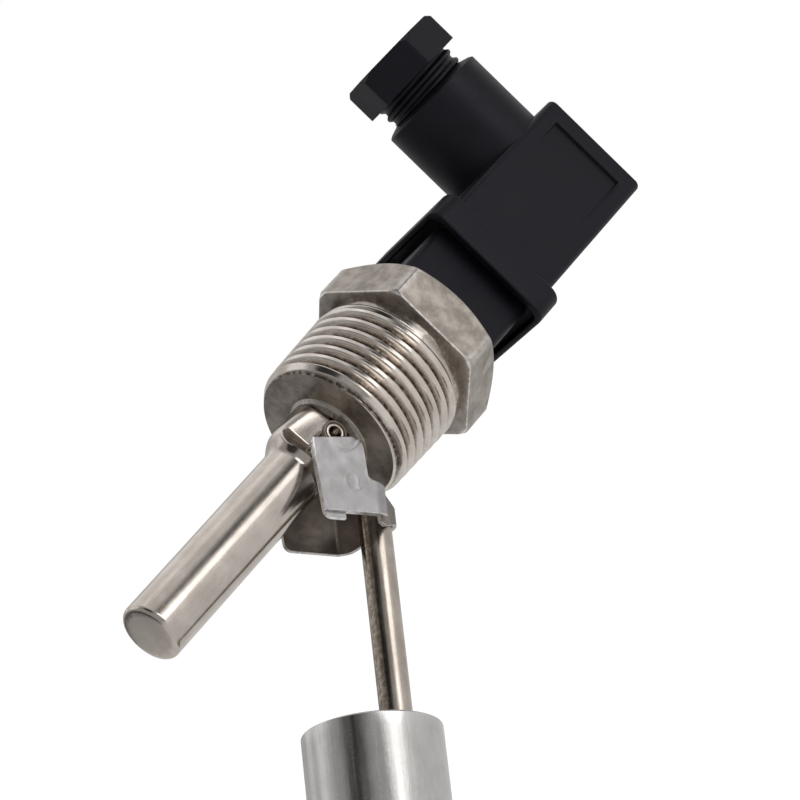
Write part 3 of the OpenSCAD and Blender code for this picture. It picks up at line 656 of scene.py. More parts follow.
class Maker:
    """Makes pieces from patches and gives them, and the solids that stay, their finish."""

    def __init__(self) -> None:
        """Makes every finish once."""
        effects = Effects()
        self.materials = {look: look.value.material(effects) for look in Look}

    def piece(
        self, name: str, patches: list, body: Body, slot: Slot, look: Look, sharp: float, *stands_for: str
    ) -> None:
        """Makes one object from patches, welds their seams and turns their faces outwards.

        Args:
            name: Name of the piece.
            patches: Its surfaces, in millimetres.
            body: Body that it rides on.
            slot: The record's slot; not used.
            look: Its finish.
            sharp: Angle in degrees past which an edge stays sharp.
            stands_for: Nodes that it replaces.
        """
        starts = np.cumsum([0] + [len(p.points) for p in patches])
        points = np.concatenate([p.points for p in patches]) * MM
        faces = np.concatenate([p.faces + n for p, n in zip(patches, starts)])
        mesh = bpy.data.meshes.new(name)
        mesh.from_pydata(points.tolist(), [], faces.tolist())
        # The value per point carries wear, painted shade and painted highlight.
        wear_and_light = mesh.attributes.new("wear_and_painted_light", "FLOAT", "POINT")
        wear_and_light.data.foreach_set("value", np.concatenate([p.wear_and_painted_light for p in patches]).astype(np.float32))
        work = bmesh.new()
        work.from_mesh(mesh)
        bmesh.ops.remove_doubles(work, verts=work.verts, dist=2e-6)
        bmesh.ops.dissolve_degenerate(work, edges=work.edges, dist=1e-7)
        bmesh.ops.recalc_face_normals(work, faces=work.faces)
        work.to_mesh(mesh)
        work.free()
        mesh.shade_smooth()
        mesh.set_sharp_from_angle(angle=math.radians(sharp))
        mesh.materials.append(self.materials[look])
        piece = show(name, mesh)
        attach(piece, body.value)
        if stands_for:
            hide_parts(*stands_for)
        LOG.info("%s: %d faces", name, len(mesh.polygons))

    def finish_solids(self) -> None:
        """Gives every node of the frame the finish of its slot."""
        slots = {entry["node"]: Slot(entry["material_slot"]) for entry in frame["record"]["subparts"]}
        for name, node in frame["nodes"].items():
            node.data.materials.clear()
            node.data.materials.append(self.materials[Look[slots[name].name]])
            LOG.info("%s: its own mesh, %s", name, slots[name].value)


@dataclass
class Assembly:
    """A sub-assembly, whose sizes are its fields and whose pieces the maker makes."""

    maker: Maker


@dataclass
class ProcessPlug(Assembly):
    """The hex plug with its taper thread, and the weld round the stem."""

    flat: float = 11.1
    thickness: float = 6.2
    bevel_slope: float = 1.45
    front_slope: float = 1.25
    edge_r: float = 0.18
    length: float = 14.9
    major: float = 10.65
    taper: float = 1 / 32
    pitch: float = 1.814
    height: float = 0.95
    lead: float = 1.25
    lead_slope: float = 0.62
    rim_r: float = 9.45
    relief: float = 1.7
    relief_r: float = 10.2
    chamber_r: float = 6.2
    stem_r: float = 4.02
    weld_r: float = 5.6
    ripple: float = 0.015
    ripples: int = 38
    columns: int = 288

    def hex_patches(self) -> list:
        """The hex as rings round the axis: each radius is the lower of the hexagon's and the bevel's.

        Returns:
            The hex and its front face.
        """
        count, rear = 720, -self.thickness
        corner = self.flat / math.cos(HALF_FLAT)
        x = np.concatenate([
            [rear, rear], np.linspace(rear, rear + 1.35, 22), np.linspace(rear + 1.5, -0.6, 8),
            np.linspace(-0.55, 0, 14),
        ])
        bevel = self.flat - 0.05 + (x - rear) * self.bevel_slope
        front = corner - 0.05 - np.maximum(0, x + 0.42) * self.front_slope
        limit = soft_min(np.minimum(bevel, front), np.full_like(x, corner + 1), 0.05)
        plain = hex_radius(angles(count), self.flat, HALF_FLAT, 0.1)
        edge = round_off(self.edge_r + x, self.edge_r)
        r = soft_min(plain - edge[:, None] * 0.5, limit[:, None], 0.12)
        r[0] = self.chamber_r
        near = smooth_step(x, -0.35, -0.02) * (1 - smooth_step(x, -0.02, 0.0) * 0.4)
        corners = smooth_step(plain, corner - 0.55, corner - 0.12)
        wear_and_painted_light = np.clip(near[:, None] * 0.85 + corners * 0.35, 0, 1)
        ring = np.linspace(0, 1, 5)[:, None]
        face_r = r[-1][None, :] * (1 - ring) + self.relief_r * ring
        face = polar(STEM, 0 * ring, face_r, count, (1 - ring) ** 3 * 0.3)
        return [polar(STEM, x, r, count, wear_and_painted_light), face]

    def thread_patch(self) -> Patch:
        """The thread: its radius is the tapered crest's less the depth of the rounded V there.

        Returns:
            The barrel from the hex's face to the edge of the front face.
        """
        x = np.concatenate([np.linspace(0, 13.3, 206), np.linspace(13.34, self.length, 66)])[:, None]
        crest = self.major - (x - self.relief) * self.taper
        wave = ridge(x, self.pitch, angles(self.columns))
        groove = 0.5 * smooth_step(wave, 0.22, 0.95) + 0.5 * np.clip((wave - 0.3) / 0.6, 0, 1)
        depth = self.height * groove * smooth_step(x, self.relief - 0.5, self.relief + 0.9)
        neck = self.major - self.relief_r
        base = crest - neck * (1 - smooth_step(x, self.relief - 0.35, self.relief + 0.35))
        lead = np.maximum(0, x - (self.length - self.lead))
        r = soft_min(base - depth, crest - lead * self.lead_slope, 0.06)
        r[-1] = self.rim_r
        # Painted shade: the thread's roots and the relief next to the hex are darkened through the wear
        # value, as shade falling in the grooves and the recess.
        root_shade = np.clip((depth - 0.3) / 0.5, 0, 1)
        shade = (1 - smooth_step(x, self.relief - 0.5, self.relief + 0.2)) * 0.6
        return polar(STEM, x, r, self.columns, np.clip(root_shade + shade, 0, 1))

    def front_patch(self) -> Patch:
        """The front face and the weld bead: a turned profile, with a ripple along the axis on the bead.

        Returns:
            The face and the bead.
        """
        end = self.length
        path = refine(fillet_path(
            [[end, self.rim_r], [end, self.weld_r + 0.12], [end + 0.14, self.weld_r],
             [end + 0.42, self.weld_r - 0.35], [end + 0.46, self.stem_r + 0.15],
             [end + 0.1, self.stem_r - 0.3]],
            [0.1, 0.12, 0.3, 0.1],
        ), 0.5)
        a = angles(self.columns)
        bead = smooth_step(path[:, :1], end + 0.02, end + 0.3)
        ripple = self.ripple * np.sin(a * self.ripples + 1.5 * np.sin(a * 5)) * bead
        return polar(STEM, path[:, :1] + ripple, path[:, 1], self.columns, bead * 0.25)

    def build(self) -> None:
        """Makes the hex, the threaded barrel and the front with its weld."""
        self.maker.piece(
            "hex_flange", self.hex_patches(), Body.PLUG, Slot.HEX, Look.HEX, 30, "process_fitting"
        )
        self.maker.piece("thread_barrel", [self.thread_patch()], Body.PLUG, Slot.HEX, Look.THREAD, 60)
        self.maker.piece("plug_front", [self.front_patch()], Body.PLUG, Slot.HEX, Look.HEX, 50)


@dataclass
class Stem(Assembly):
    """The sensing stem with its pinched part and its closed tip."""

    start: float = 14.9
    tip: float = 52.9
    radius: float = 4.0
    edge_r: float = 5.2
    pinch_start: float = 15.1
    pinch_end: float = 21.4
    slope_end: float = 23.6
    dent: float = 2.4
    dent_slope: float = 0.27
    run_start: float = 19.5
    run_r: float = 2.6
    tip_r: float = 0.65
    seam: float = 1.8
    columns: int = 256

    def outline(self, x: np.ndarray) -> np.ndarray:
        """Radius of the stem without its dents: it widens at the pinched part and rounds off at the tip.

        Args:
            x: Places along the stem.

        Returns:
            The radii there.
        """
        widen = smooth_step(x, self.pinch_start, self.pinch_start + 0.6)
        widen = widen * (1 - smooth_step(x, self.pinch_end - 1.1, self.slope_end - 0.1))
        r = self.radius + (self.edge_r - self.radius) * widen
        r = r - round_off(x - (self.tip - self.tip_r), self.tip_r)
        return r - 0.008 * bell(x, self.tip - self.seam, 0.12)

    def dent_line(self, x: np.ndarray) -> np.ndarray:
        """Half thickness left by the dents: a slope that falls from the weld, then a circular run-out.

        Args:
            x: Places along the stem.

        Returns:
            The half thickness there, past the run-out a value beyond the stem.
        """
        run = np.where(x > self.run_start + self.run_r, 9, round_off(x - self.run_start, self.run_r))
        return self.dent + self.dent_slope * np.clip(self.run_start - x, 0, None) + run

    def build(self) -> None:
        """Makes the stem: the radius at an angle is the lower of the outline's and the dent's."""
        straight = self.tip - self.tip_r
        x = np.concatenate([
            np.linspace(self.start, self.pinch_start, 4), np.linspace(self.pinch_start + 0.05, 24.5, 150),
            np.linspace(25, straight - 0.9, 24), np.linspace(straight - 0.85, straight, 18),
            straight + self.tip_r * np.sin(np.linspace(0.08, math.pi / 2, 14)),
        ])
        across = np.maximum(np.abs(np.cos(angles(self.columns))), 1e-3) ** 0.85
        r = soft_min(self.outline(x)[:, None], self.dent_line(x)[:, None] / across, 1.5)
        ring = np.linspace(1, 0, 6)[1:, None]
        x = np.concatenate([x, np.full(len(ring), self.tip)])
        r = np.concatenate([r, ring * r[-1]])
        shell = polar(STEM, x, r, self.columns, bell(x, self.tip - self.seam, 0.35) * 0.12)
        self.maker.piece(
            "stem_shell", [shell], Body.PLUG, Slot.STAINLESS, Look.STAINLESS, 50, "stem_tube", "stem_end_plug"
        )


@dataclass
class HingePin(Assembly):
    """The hollow pin that the arm swings on."""

    near: float = 5.87
    far: float = -5.95
    radius: float = 1.2
    bore: float = 0.8
    head: float = 1.7
    head_depth: float = 0.35

    def build(self) -> None:
        """Makes the pin: a closed profile of place and radius turned round the pin's axis."""
        r, bore, tip = self.radius, self.bore, self.far - self.head_depth
        path = fillet_path(
            [[0, r], [self.near, r], [self.near, bore], [0, bore], [tip, bore], [tip, self.head],
             [self.far, self.head], [self.far, r], [0, r]],
            [0.13, 0.13, 0, 0.15, 0.12, 0.1, 0.05],
        )
        ring = polar(PIN, path[:, 0], path[:, 1], 64)
        self.maker.piece("pin_ring", [ring], Body.PLUG, Slot.ROD, Look.STAINLESS, 50, "hinge_pin")


@dataclass
class PlugHousing(Assembly):
    """The moulded plug housing with its skirt, its gland boss and the boss's thread."""

    top: float = -44.0
    half_y: float = 7.95
    half_z: float = 8.2
    edge_r: float = 1.0
    box_end: float = -19.9
    skirt_start: float = -18.9
    skirt_end: float = -14.5
    skirt_out: float = 1.95
    skirt_low: float = 0.27
    skirt_wall: float = 0.95
    seat: float = -17.0
    well_r: float = 2.7
    well_end: float = -41.4
    screw_r: float = 1.6
    panel_depth: float = 0.4
    panel_half: float = 5.6
    panel_start: float = -41.4
    panel_end: float = -21.1
    slot_x: float = -20.2
    slot_low: float = -6.45
    slot_high: float = -4.65
    slot_depth: float = 0.55
    boss_r: float = 7.7
    boss_foot: float = 7.6
    boss_end: float = 19.9
    bore: float = 5.1
    bore_end: float = 19.3
    cable_r: float = 3.5
    cable_end: float = 4.2
    thread_r: float = 6.2
    thread_root: float = 0.45
    thread_pitch: float = 1.5
    spigot_end: float = 26.3
    columns: int = 192

    def shell_patches(self) -> list:
        """Rounded rectangles carried along a profile of place and outward offset, with sunk side panels.

        Returns:
            The outside, the end face and the well of the centre screw.
        """
        inner = self.skirt_out - self.skirt_wall
        path = fillet_path(
            [[self.top, -0.75], [self.top, 0], [self.box_end, 0], [self.skirt_start, self.skirt_out],
             [self.skirt_end, self.skirt_out], [self.skirt_end, inner], [self.seat, inner],
             [self.seat, -1.2]],
            [0.7, 0.8, 0.5, 0.3, 0.25, 0.3],
        )
        near = np.array([-0.12, -0.06, 0, 0.06, 0.12])
        extra = np.sort(np.concatenate([
            self.panel_start + near, self.panel_end + near, np.linspace(-40.5, -22, 16),
            np.linspace(-20.5, -19.98, 9),
        ]))
        first = np.argmax(path[:, 0] > self.top + 1)
        path = np.concatenate([path[:first], np.stack([extra, 0 * extra], axis=1), path[first:]])
        s, off = path[:, 0], path[:, 1]
        low = np.where(off > 0.2, self.skirt_low * np.clip(off / self.skirt_out, 0, 1), 0)
        r = np.clip(self.edge_r + np.where(off > 0, off * 0.45, off), 0.05, None)
        reach = self.half_z - self.edge_r
        lower = np.concatenate([
            [-reach, -6.5, -6.4], np.array([-0.12, -0.05, 0, 0.06, 0.12]) - self.panel_half,
            [-4.7, -4.6, -2, 0],
        ])
        line = np.concatenate([lower, -lower[-2::-1]])
        y, z = rounded_box_rows(self.half_y + off, self.half_z + off - low, r, (line / reach + 1) / 2, 8)
        on_side = np.abs(y) > self.half_y - 0.3
        fade = np.clip((self.panel_end - s) / (self.panel_end - self.panel_start), 0, 1) ** 4
        deep = smooth_step(s, self.panel_start - 0.1, self.panel_start + 0.06) * fade
        wide = 1 - smooth_step(np.abs(z), self.panel_half - 0.06, self.panel_half + 0.1)
        y = y - np.sign(y) * self.panel_depth * (deep[:, None] * wide * on_side)
        slot = smooth_step(-np.abs(s - self.slot_x), -0.26, -0.14)[:, None]
        slot = slot * (z < self.slot_high) * (z > self.slot_low)
        y = y - np.sign(y) * self.slot_depth * slot * (np.abs(y) > self.half_y - 0.3)
        past_y, past_z = np.abs(y) - self.half_y, np.abs(z) - self.half_z
        from_edge = np.abs(np.hypot(past_y + self.edge_r, past_z + self.edge_r) - self.edge_r)
        wear_and_painted_light = np.clip(1 - from_edge * 4, 0, 1) * (past_y > -0.95) * (past_z > -0.95) * 0.5
        outer = patch(STEM.place(s[:, None], y, z), wear_and_painted_light)
        cap = flat_cap(STEM, self.top, y[0], z[0], self.well_r, 5)
        well = fillet_path(
            [[self.top, self.well_r], [self.well_end, self.well_r], [self.well_end, self.screw_r]], [0.1]
        )
        return [outer, cap, polar(STEM, well[:, 0], well[:, 1], len(y[0]))]

    def boss_patch(self) -> Patch:
        """The boss and its thread: a turned profile, then a radius that falls by the thread's V.

        Returns:
            The boss from its foot, over its thread and down its bore.
        """
        start = self.boss_end + 0.5
        outer = fillet_path(
            [[self.boss_foot, self.boss_r + 0.06], [self.boss_foot + 0.75, self.boss_r],
             [self.boss_end - 0.3, self.boss_r], [self.boss_end, self.boss_r - 0.5],
             [self.boss_end + 0.35, self.thread_r - 0.1], [start, self.thread_r - self.thread_root - 0.05]],
            [0.3, 0.25, 0.2, 0.2],
        )
        z = np.linspace(start, self.spigot_end, 80)[:, None]
        wave = ridge(z, self.thread_pitch, angles(self.columns))
        r = self.thread_r - self.thread_root * smooth_step(wave, 0.15, 0.8) - 0.03
        r = r - np.maximum(0, z - self.spigot_end + 0.5) * 0.6
        inner = fillet_path(
            [[self.spigot_end, self.thread_r - 0.5], [self.spigot_end, self.bore], [self.bore_end, self.bore],
             [self.bore_end, self.cable_r], [self.cable_end, self.cable_r]],
            [0.15, 0.2, 0.2],
        )
        outer_r, inner_r = (np.repeat(part[:, 1:], self.columns, axis=1) for part in (outer, inner))
        z = np.concatenate([outer[:, 0], z[:, 0], inner[:, 0]])
        return polar(GLAND, z, np.concatenate([outer_r, r, inner_r]), self.columns)

    def build(self) -> None:
        """Makes the shell and the boss."""
        self.maker.piece(
            "housing_shell", self.shell_patches(), Body.PLUG, Slot.BLACK, Look.BLACK, 45, "plug_housing"
        )
        self.maker.piece("gland_boss", [self.boss_patch()], Body.PLUG, Slot.BLACK, Look.BLACK, 50)


@dataclass
class ConnectorBase(Assembly):
    """The square base under the housing, with its foot."""

    half: float = 7.75
    spigot_half: float = 6.6
    foot_half: float = 8.45
    foot: float = -6.5
    bottom: float = -5.0
    top: float = -15.6
    spigot_top: float = -18.5
    collar: float = 6.58

    def build(self) -> None:
        """Makes the base: rounded squares carried along a profile of place and half width."""
        path = fillet_path(
            [[self.spigot_top, self.spigot_half], [self.top, self.spigot_half], [self.top, self.half],
             [self.foot, self.half - 0.05], [self.foot, self.foot_half], [self.bottom, self.foot_half],
             [self.bottom, self.collar]],
            [0.05, 0.35, 0.15, 0.3, 0.15],
        )
        s, half = path[:, 0], path[:, 1]
        corner_r = np.where(half > self.half + 0.1, 2.2, 1.0)
        y, z = rounded_box_rows(half, half, corner_r, np.linspace(0, 1, 7), 10)
        block = patch(STEM.place(s[:, None], y, z))
        self.maker.piece("base_block", [block], Body.PLUG, Slot.BLACK, Look.BLACK, 45, "connector_base")


@dataclass
class GlandNut(Assembly):
    """The hex gland nut."""

    start: float = 23.1
    end: float = 27.8
    flat: float = 6.75
    corner_turn: float = math.radians(13.5)
    hole: float = 3.3
    bore: float = 6.25
    bore_end: float = 26.6
    columns: int = 480

    def build(self) -> None:
        """Makes the nut: rings whose radius is the lower of the hexagon's and the bevel's."""
        corner = self.flat / math.cos(HALF_FLAT)
        z = np.concatenate([
            [self.start, self.start], np.linspace(self.start, self.start + 0.3, 6),
            np.linspace(self.start + 0.5, self.end - 1.0, 8), np.linspace(self.end - 0.9, self.end, 18),
        ])
        plain = hex_radius(angles(self.columns), self.flat, self.corner_turn, 0.12)
        bevel = corner - 0.35 - (z - self.end + 0.35)
        low = corner - 0.12 + (z - self.start) * 1.2
        r = soft_min(plain, np.minimum(bevel, low)[:, None], 0.1)
        r[0] = self.bore
        edges = np.repeat(smooth_step(plain, corner - 0.4, corner - 0.1) * 0.4, len(z), axis=0)
        inner = fillet_path(
            [[self.end, self.hole + 0.5], [self.end - 0.3, self.hole], [self.bore_end, self.hole],
             [self.bore_end, self.bore], [self.start, self.bore]],
            [0.2, 0.05, 0.1],
        )
        inner_r = np.repeat(inner[:, 1:], self.columns, axis=1)
        nut = polar(
            GLAND, np.concatenate([z, inner[:, 0]]), np.concatenate([r, inner_r]), self.columns,
            np.concatenate([edges, 0 * inner_r]),
        )
        self.maker.piece("gland_nut_shell", [nut], Body.NUT, Slot.BLACK, Look.BLACK, 35, "gland_nut")


@dataclass
class FoldedSheet(Assembly):
    """Sheet metal on the bracket's fold: ears, bends, slanted webs and the wrap round the rod."""

    ear_in: float = 5.3
    sheet: float = 0.6
    bend_z: float = -4.3
    bend_r: float = 1.2
    wrap_z: float = -7.2
    wrap_r: float = 2.02
    edge: float = 0.13
    # Painted highlight: how much the sheet's cut edges and its starting edge are lightened.
    edge_highlight: float = 0.9
    start_edge_highlight: float = 0.5

    def fold(self, z: np.ndarray, off: float) -> tuple:
        """Half of the fold from its ear to the middle of the wrap: a line, an arc, a tangent line and an arc.

        The tangent's angle is where the distances of the two arcs' centres to it are their own radii.

        Args:
            z: Heights at which the ear is cut into rows, falling.
            off: Distance of the sheet's middle from the bracket's own.

        Returns:
            The rows' y, z and outward angle.
        """
        bend = self.bend_r + self.sheet / 2 + off
        wrap = self.wrap_r + self.sheet / 2 + off
        bend_y = self.ear_in - self.bend_r
        span = math.hypot(bend_y, self.wrap_z - self.bend_z)
        tilt = math.atan2(self.bend_z - self.wrap_z, bend_y)
        turn = tilt - math.acos((wrap - bend) / span)
        a = np.linspace(0, turn, 13)[1:]
        b = np.linspace(turn, -math.pi / 2, 14)
        y0, z0 = bend_y + bend * math.cos(turn), self.bend_z + bend * math.sin(turn)
        y1, z1 = wrap * math.cos(turn), self.wrap_z + wrap * math.sin(turn)
        t = np.linspace(0, 1, 12)[1:-1]
        y = [np.full_like(z, bend_y + bend), bend_y + bend * np.cos(a), y0 + t * (y1 - y0), wrap * np.cos(b)]
        h = [z, self.bend_z + bend * np.sin(a), z0 + t * (z1 - z0), self.wrap_z + wrap * np.sin(b)]
        angle = [np.zeros_like(z), a, np.full_like(t, turn), b]
        return np.concatenate(y), np.concatenate(h), np.concatenate(angle)

    def slab(
        self, fold: tuple, low: np.ndarray, high: np.ndarray, columns: int, mark: np.ndarray | float = 0.0
    ) -> Patch:
        """A wall round the fold: each row is a thin rounded rectangle from low to high along the arm.

        Two more rows at each end draw in to close its edge.

        Args:
            fold: The rows' y, heights and outward angles.
            low: Where each row starts along the arm.
            high: Where each row ends along the arm.
            columns: Number of columns on each face.
            mark: Height added to the outer face, rows by columns, or none.

        Returns:
            The wall.
        """
        y, z, angle = fold
        q, half = self.edge, self.sheet / 2
        low, high = low[:, None], np.maximum(high, low + 2.5 * q)[:, None]
        face = low + q + (high - low - 2 * q) * np.linspace(0, 1, columns)[None, :]
        arc = np.linspace(0, math.pi / 2, 4)[None, 1:-1]
        sin, cos, ones = q * np.sin(arc), q * np.cos(arc), np.ones_like(low)
        s = [face, high - q + sin, high - q + cos, face[:, ::-1], low + q - sin, low + q - cos]
        o = [half + mark + 0 * face, (half - q + cos) * ones, (q - half - sin) * ones, 0 * face - half,
             (q - half - cos) * ones, (half - q + sin) * ones]
        s, o = np.concatenate(s, axis=1), np.concatenate(o, axis=1)
        # Painted highlight: the cut edges and the top rows are lightened through the wear value, as bright
        # lines along the rims.
        wear_and_painted_light = np.zeros_like(s)
        wear_and_painted_light[:, columns:columns + 4] = self.edge_highlight
        wear_and_painted_light[:, 2 * columns + 4:] = self.start_edge_highlight
        wear_and_painted_light[:3] = self.edge_highlight
        for first in (True, False):
            i, j = (0, 1) if first else (-1, -2)
            step = np.array([y[i] - y[j], z[i] - z[j]])
            step = step / np.hypot(*step) * q
            out, share = np.array([(1.0, 0.6), (0.0, 0.6)] if first else [(0.6, 1.0), (0.6, 0.0)])
            old = (y, z, angle, s, o, wear_and_painted_light)
            new = (y[i] + step[0] * out, z[i] + step[1] * out, angle[[i, i]], s[[i, i]],
                   share[:, None] * o[i], wear_and_painted_light[[i, i]])
            y, z, angle, s, o, wear_and_painted_light = (
                np.concatenate(pair if first else pair[::-1]) for pair in zip(new, old)
            )
        yy = y[:, None] + o * np.cos(angle)[:, None]
        zz = z[:, None] + o * np.sin(angle)[:, None]
        return patch(arm_axis(0).place(s, yy, zz), wear_and_painted_light)

    def rows(self, top: float, marks: tuple = ()) -> np.ndarray:
        """Heights of an ear's rows from its top down to the bend, close together at its marks."""
        near = [mark + side for mark in marks for side in (0.002, -0.002)]
        return np.unique(np.concatenate([np.linspace(top, self.bend_z, 90), near]))[::-1]

    @staticmethod
    def ends(low: list, low_r: list, high: list, high_r: list, z: np.ndarray) -> tuple:
        """Where rows start and end: both sides of the outline are read at the rows' heights.

        Args:
            low: Corners of the side where the rows start, from the top down.
            low_r: Radii at its inner corners.
            high: Corners of the side where they end.
            high_r: Radii at its inner corners.
            z: The rows' heights.

        Returns:
            The rows' starts and ends along the arm.
        """
        left, right = fillet_path(low, low_r), fillet_path(high, high_r)
        return np.interp(-z, -left[:, 1], left[:, 0]), np.interp(-z, -right[:, 1], right[:, 0])


@dataclass
class HingeBracket(FoldedSheet):
    """The folded hinge bracket with the two eyes for the pin."""

    length: float = 11.3
    wrap_cut: float = 1.6
    notch: float = 10.4
    notch_top: float = -0.2
    notch_low: float = -4.9
    eye_r: float = 1.6
    hole_r: float = 1.25
    top: float = 3.3
    bottom: float = -10.82
    near_web: tuple = ((5.9, -3.4), (6.4, -4.7))
    near_web_r: tuple = (0.8, 1.0)
    far_web: tuple = ((4.4, -3.4), (4.9, -4.7), (5.9, -6.3), (7.05, -7.6))
    far_web_r: tuple = (0.8, 0.8, 0.5, 0.3)
    columns: int = 40

    def side(self, near: bool) -> list:
        """Half of the bracket, from one ear to the middle of the wrap.

        Args:
            near: Whether it is the near half, which has the notch.

        Returns:
            The near ear and its web as two walls, or the far half as one.
        """
        y, z, angle = self.fold(self.rows(self.top, (self.notch_top, self.eye_r, -self.eye_r)), 0)
        web, web_r = (self.near_web, self.near_web_r) if near else (self.far_web, self.far_web_r)
        long, short = self.length, self.length - self.wrap_cut
        low, high = self.ends(
            [(2.6, self.top), (0.9, self.top - 0.01), (0.9, -3.1), *web, (7.7, self.bottom)],
            [1.0, 1.2, *web_r],
            [(2.6, self.top), (long, 2.6), (long, -6.0), (short, -8.92), (short, self.bottom)],
            [1.1, 1.0, 0.8], z,
        )
        hole = self.eye_r - 0.15
        low = np.where(np.abs(z) < hole, np.maximum(low, np.sqrt(np.clip(hole**2 - z**2, 0, None))), low)
        if not near:
            return [self.slab((-y, z, math.pi - angle), low, high, self.columns)]
        notched = (z < self.notch_top) & (z > self.notch_low)
        high = np.where(notched, np.minimum(high, self.notch), high)
        cut = int(np.argmax(angle < 0))
        return [
            self.slab((y[part], z[part], angle[part]), low[part], high[part], self.columns)
            for part in (slice(0, cut + 1), slice(cut, None))
        ]

    def eye(self, sign: int) -> Patch:
        """The eye round the pin: a small rectangle turned round the pin's axis.

        Args:
            sign: Side of the ear.

        Returns:
            The ring.
        """
        near, far = self.ear_in, self.ear_in + self.sheet
        path = fillet_path(
            [[near, self.hole_r + 0.1], [near, self.eye_r], [far, self.eye_r], [far, self.hole_r],
             [near, self.hole_r], [near, self.hole_r + 0.1]],
            [0.1, 0.12, 0.1, 0.08],
        )
        return polar(PIN, sign * path[:, 0], path[:, 1], 64)

    def build(self) -> None:
        """Makes the bracket."""
        ear, web = self.side(True)
        rest = [web, *self.side(False), self.eye(1), self.eye(-1)]
        self.maker.piece("bracket_ear", [ear], Body.ARM, Slot.SHEET, Look.SHEET, 35, "hinge_bracket")
        # The web, the far half and the eyes take the sheet's darker copy, as painted shade.
        self.maker.piece("bracket_fold", rest, Body.ARM, Slot.SHEET, Look.SHADED_SHEET, 35)


@dataclass
class CoverPlate(FoldedSheet):
    """The plate over the near ear, with the marks of its weld and of the pin under it."""

    gap: float = 0.62
    length: float = 10.5
    top: float = 3.55
    bottom: float = -5.6
    weld: tuple = (6.6, -1.2)
    weld_half: tuple = (1.25, 0.8)
    pin_z: float = -0.4
    pin_mark_r: float = 2.5
    dot: tuple = (7.5, -2.1)
    columns: int = 90

    def marks(self, s: np.ndarray, h: np.ndarray) -> np.ndarray:
        """Heights of the weld's ring, the raised round over the pin, a dot and a slow waviness, added up.

        Args:
            s: Places along the arm.
            h: Heights.

        Returns:
            What they add to the outer face.
        """
        ring = np.hypot((s - self.weld[0]) / self.weld_half[0], (h - self.weld[1]) / self.weld_half[1])
        mark = 0.016 * bell(ring, 1, 0.2) - 0.012 * bell(ring, 0, 0.8)
        eye = np.hypot(s, h - self.pin_z)
        mark += 0.06 * bell(eye, self.pin_mark_r, 0.16) * smooth_step(-h, -1.2, 0.2)
        mark += 0.05 * (1 - smooth_step(eye, 1.6, self.pin_mark_r))
        mark += 0.05 * bell(np.hypot(s - self.dot[0], h - self.dot[1]), 0, 0.16)
        return mark + 0.012 * np.sin(s * 2.1 + h) * np.sin(h * 1.7 - s * 0.6)

    def build(self) -> None:
        """Makes the plate: a wall on the fold that stops above the web."""
        fold = np.array(self.fold(self.rows(self.top), self.gap))
        fold = fold[:, fold[1] > self.bottom]
        low, high = self.ends(
            [(1.6, self.top), (1.15, self.top - 0.01), (0.65, -1.8), (1.25, -3.2), (5.9, -3.45),
             (6.6, self.bottom)],
            [0.3, 0.3, 0.8, 0.8],
            [(1.6, self.top), (self.length, 2.85), (self.length, self.bottom)], [0.3], fold[1],
        )
        s = low[:, None] + (high - low)[:, None] * np.linspace(0, 1, self.columns)[None, :]
        wall = self.slab(tuple(fold), low, high, self.columns, self.marks(s, fold[1][:, None]))
        self.maker.piece("cover_sheet", [wall], Body.ARM, Slot.SHEET, Look.SHEET, 35, "cover_plate")


@dataclass
class FloatArm(Assembly):
    """The swinging arm's rod and float."""

    rod_height: float = -7.2
    rod_r: float = 2.0
    rod_start: float = 7.0
    # Painted shade: the turn and the strength of the darkening of one side of the rod.
    stain_turn: float = 2.04
    side_shade: float = 0.85
    float_height: float = -3.65
    float_start: float = 35.9
    float_r: float = 8.5
    float_length: float = 34.0
    end_r: float = 2.5
    seam: float = 6.0
    cap_sink: float = 0.5

    def rod(self) -> None:
        """Makes the rod with a small bead at the float: a turned profile, darkened on one side by painted
        shade.
        """
        face = self.float_start + self.cap_sink
        path = refine(fillet_path(
            [[self.rod_start, 0], [self.rod_start, self.rod_r], [face - 0.45, self.rod_r],
             [face - 0.1, self.rod_r + 0.4], [face + 0.05, self.rod_r + 0.5], [face + 1.0, self.rod_r]],
            [0.3, 0.4, 0.2, 0.1],
        ), 2.0)
        count = 96
        # Painted shade: one side of the rod is darkened through the wear value, as the side turned away from
        # the light.
        shaded_side = self.side_shade * smooth_step(np.cos(angles(count) - self.stain_turn), 0.0, 0.4)
        bar = polar(arm_axis(self.rod_height), path[:, 0], path[:, 1], count, shaded_side)
        self.maker.piece("rod_bar", [bar], Body.ARM, Slot.ROD, Look.ROD, 50, "float_rod")

    def float_body(self) -> None:
        """Makes the float: a turned profile with a rolled rim, a sunk end and a domed far end, with a painted
        highlight along the rim.
        """
        r, start, end = self.float_r, self.float_start, self.float_start + self.float_length
        sunk, seam = start + self.cap_sink, end - self.seam
        path = refine(fillet_path(
            [[sunk, 0], [sunk, r - 0.95], [sunk - 0.02, r - 0.72], [start, r - 0.6], [start, r],
             [seam - 0.2, r], [seam, r - 0.06], [seam + 0.2, r], [end, r], [end, 0]],
            [0.3, 0.25, 0.1, 0.28, 0, 0, 0, self.end_r],
            8,
        ), 1.5)
        # Painted highlight: the rim is lightened through the wear value, as a bright line along it.
        rim_highlight = bell(path[:, 0], start, 0.25) * (path[:, 1] > r - 0.7) * 0.8
        can = polar(arm_axis(self.float_height), path[:, 0], path[:, 1], 192, rim_highlight)
        self.maker.piece(
            "float_can", [can], Body.ARM, Slot.FLOAT, Look.FLOAT, 50, "float_shell", "float_cap"
        )

    def build(self) -> None:
        """Makes the rod and the float."""
        self.rod()
        self.float_body()


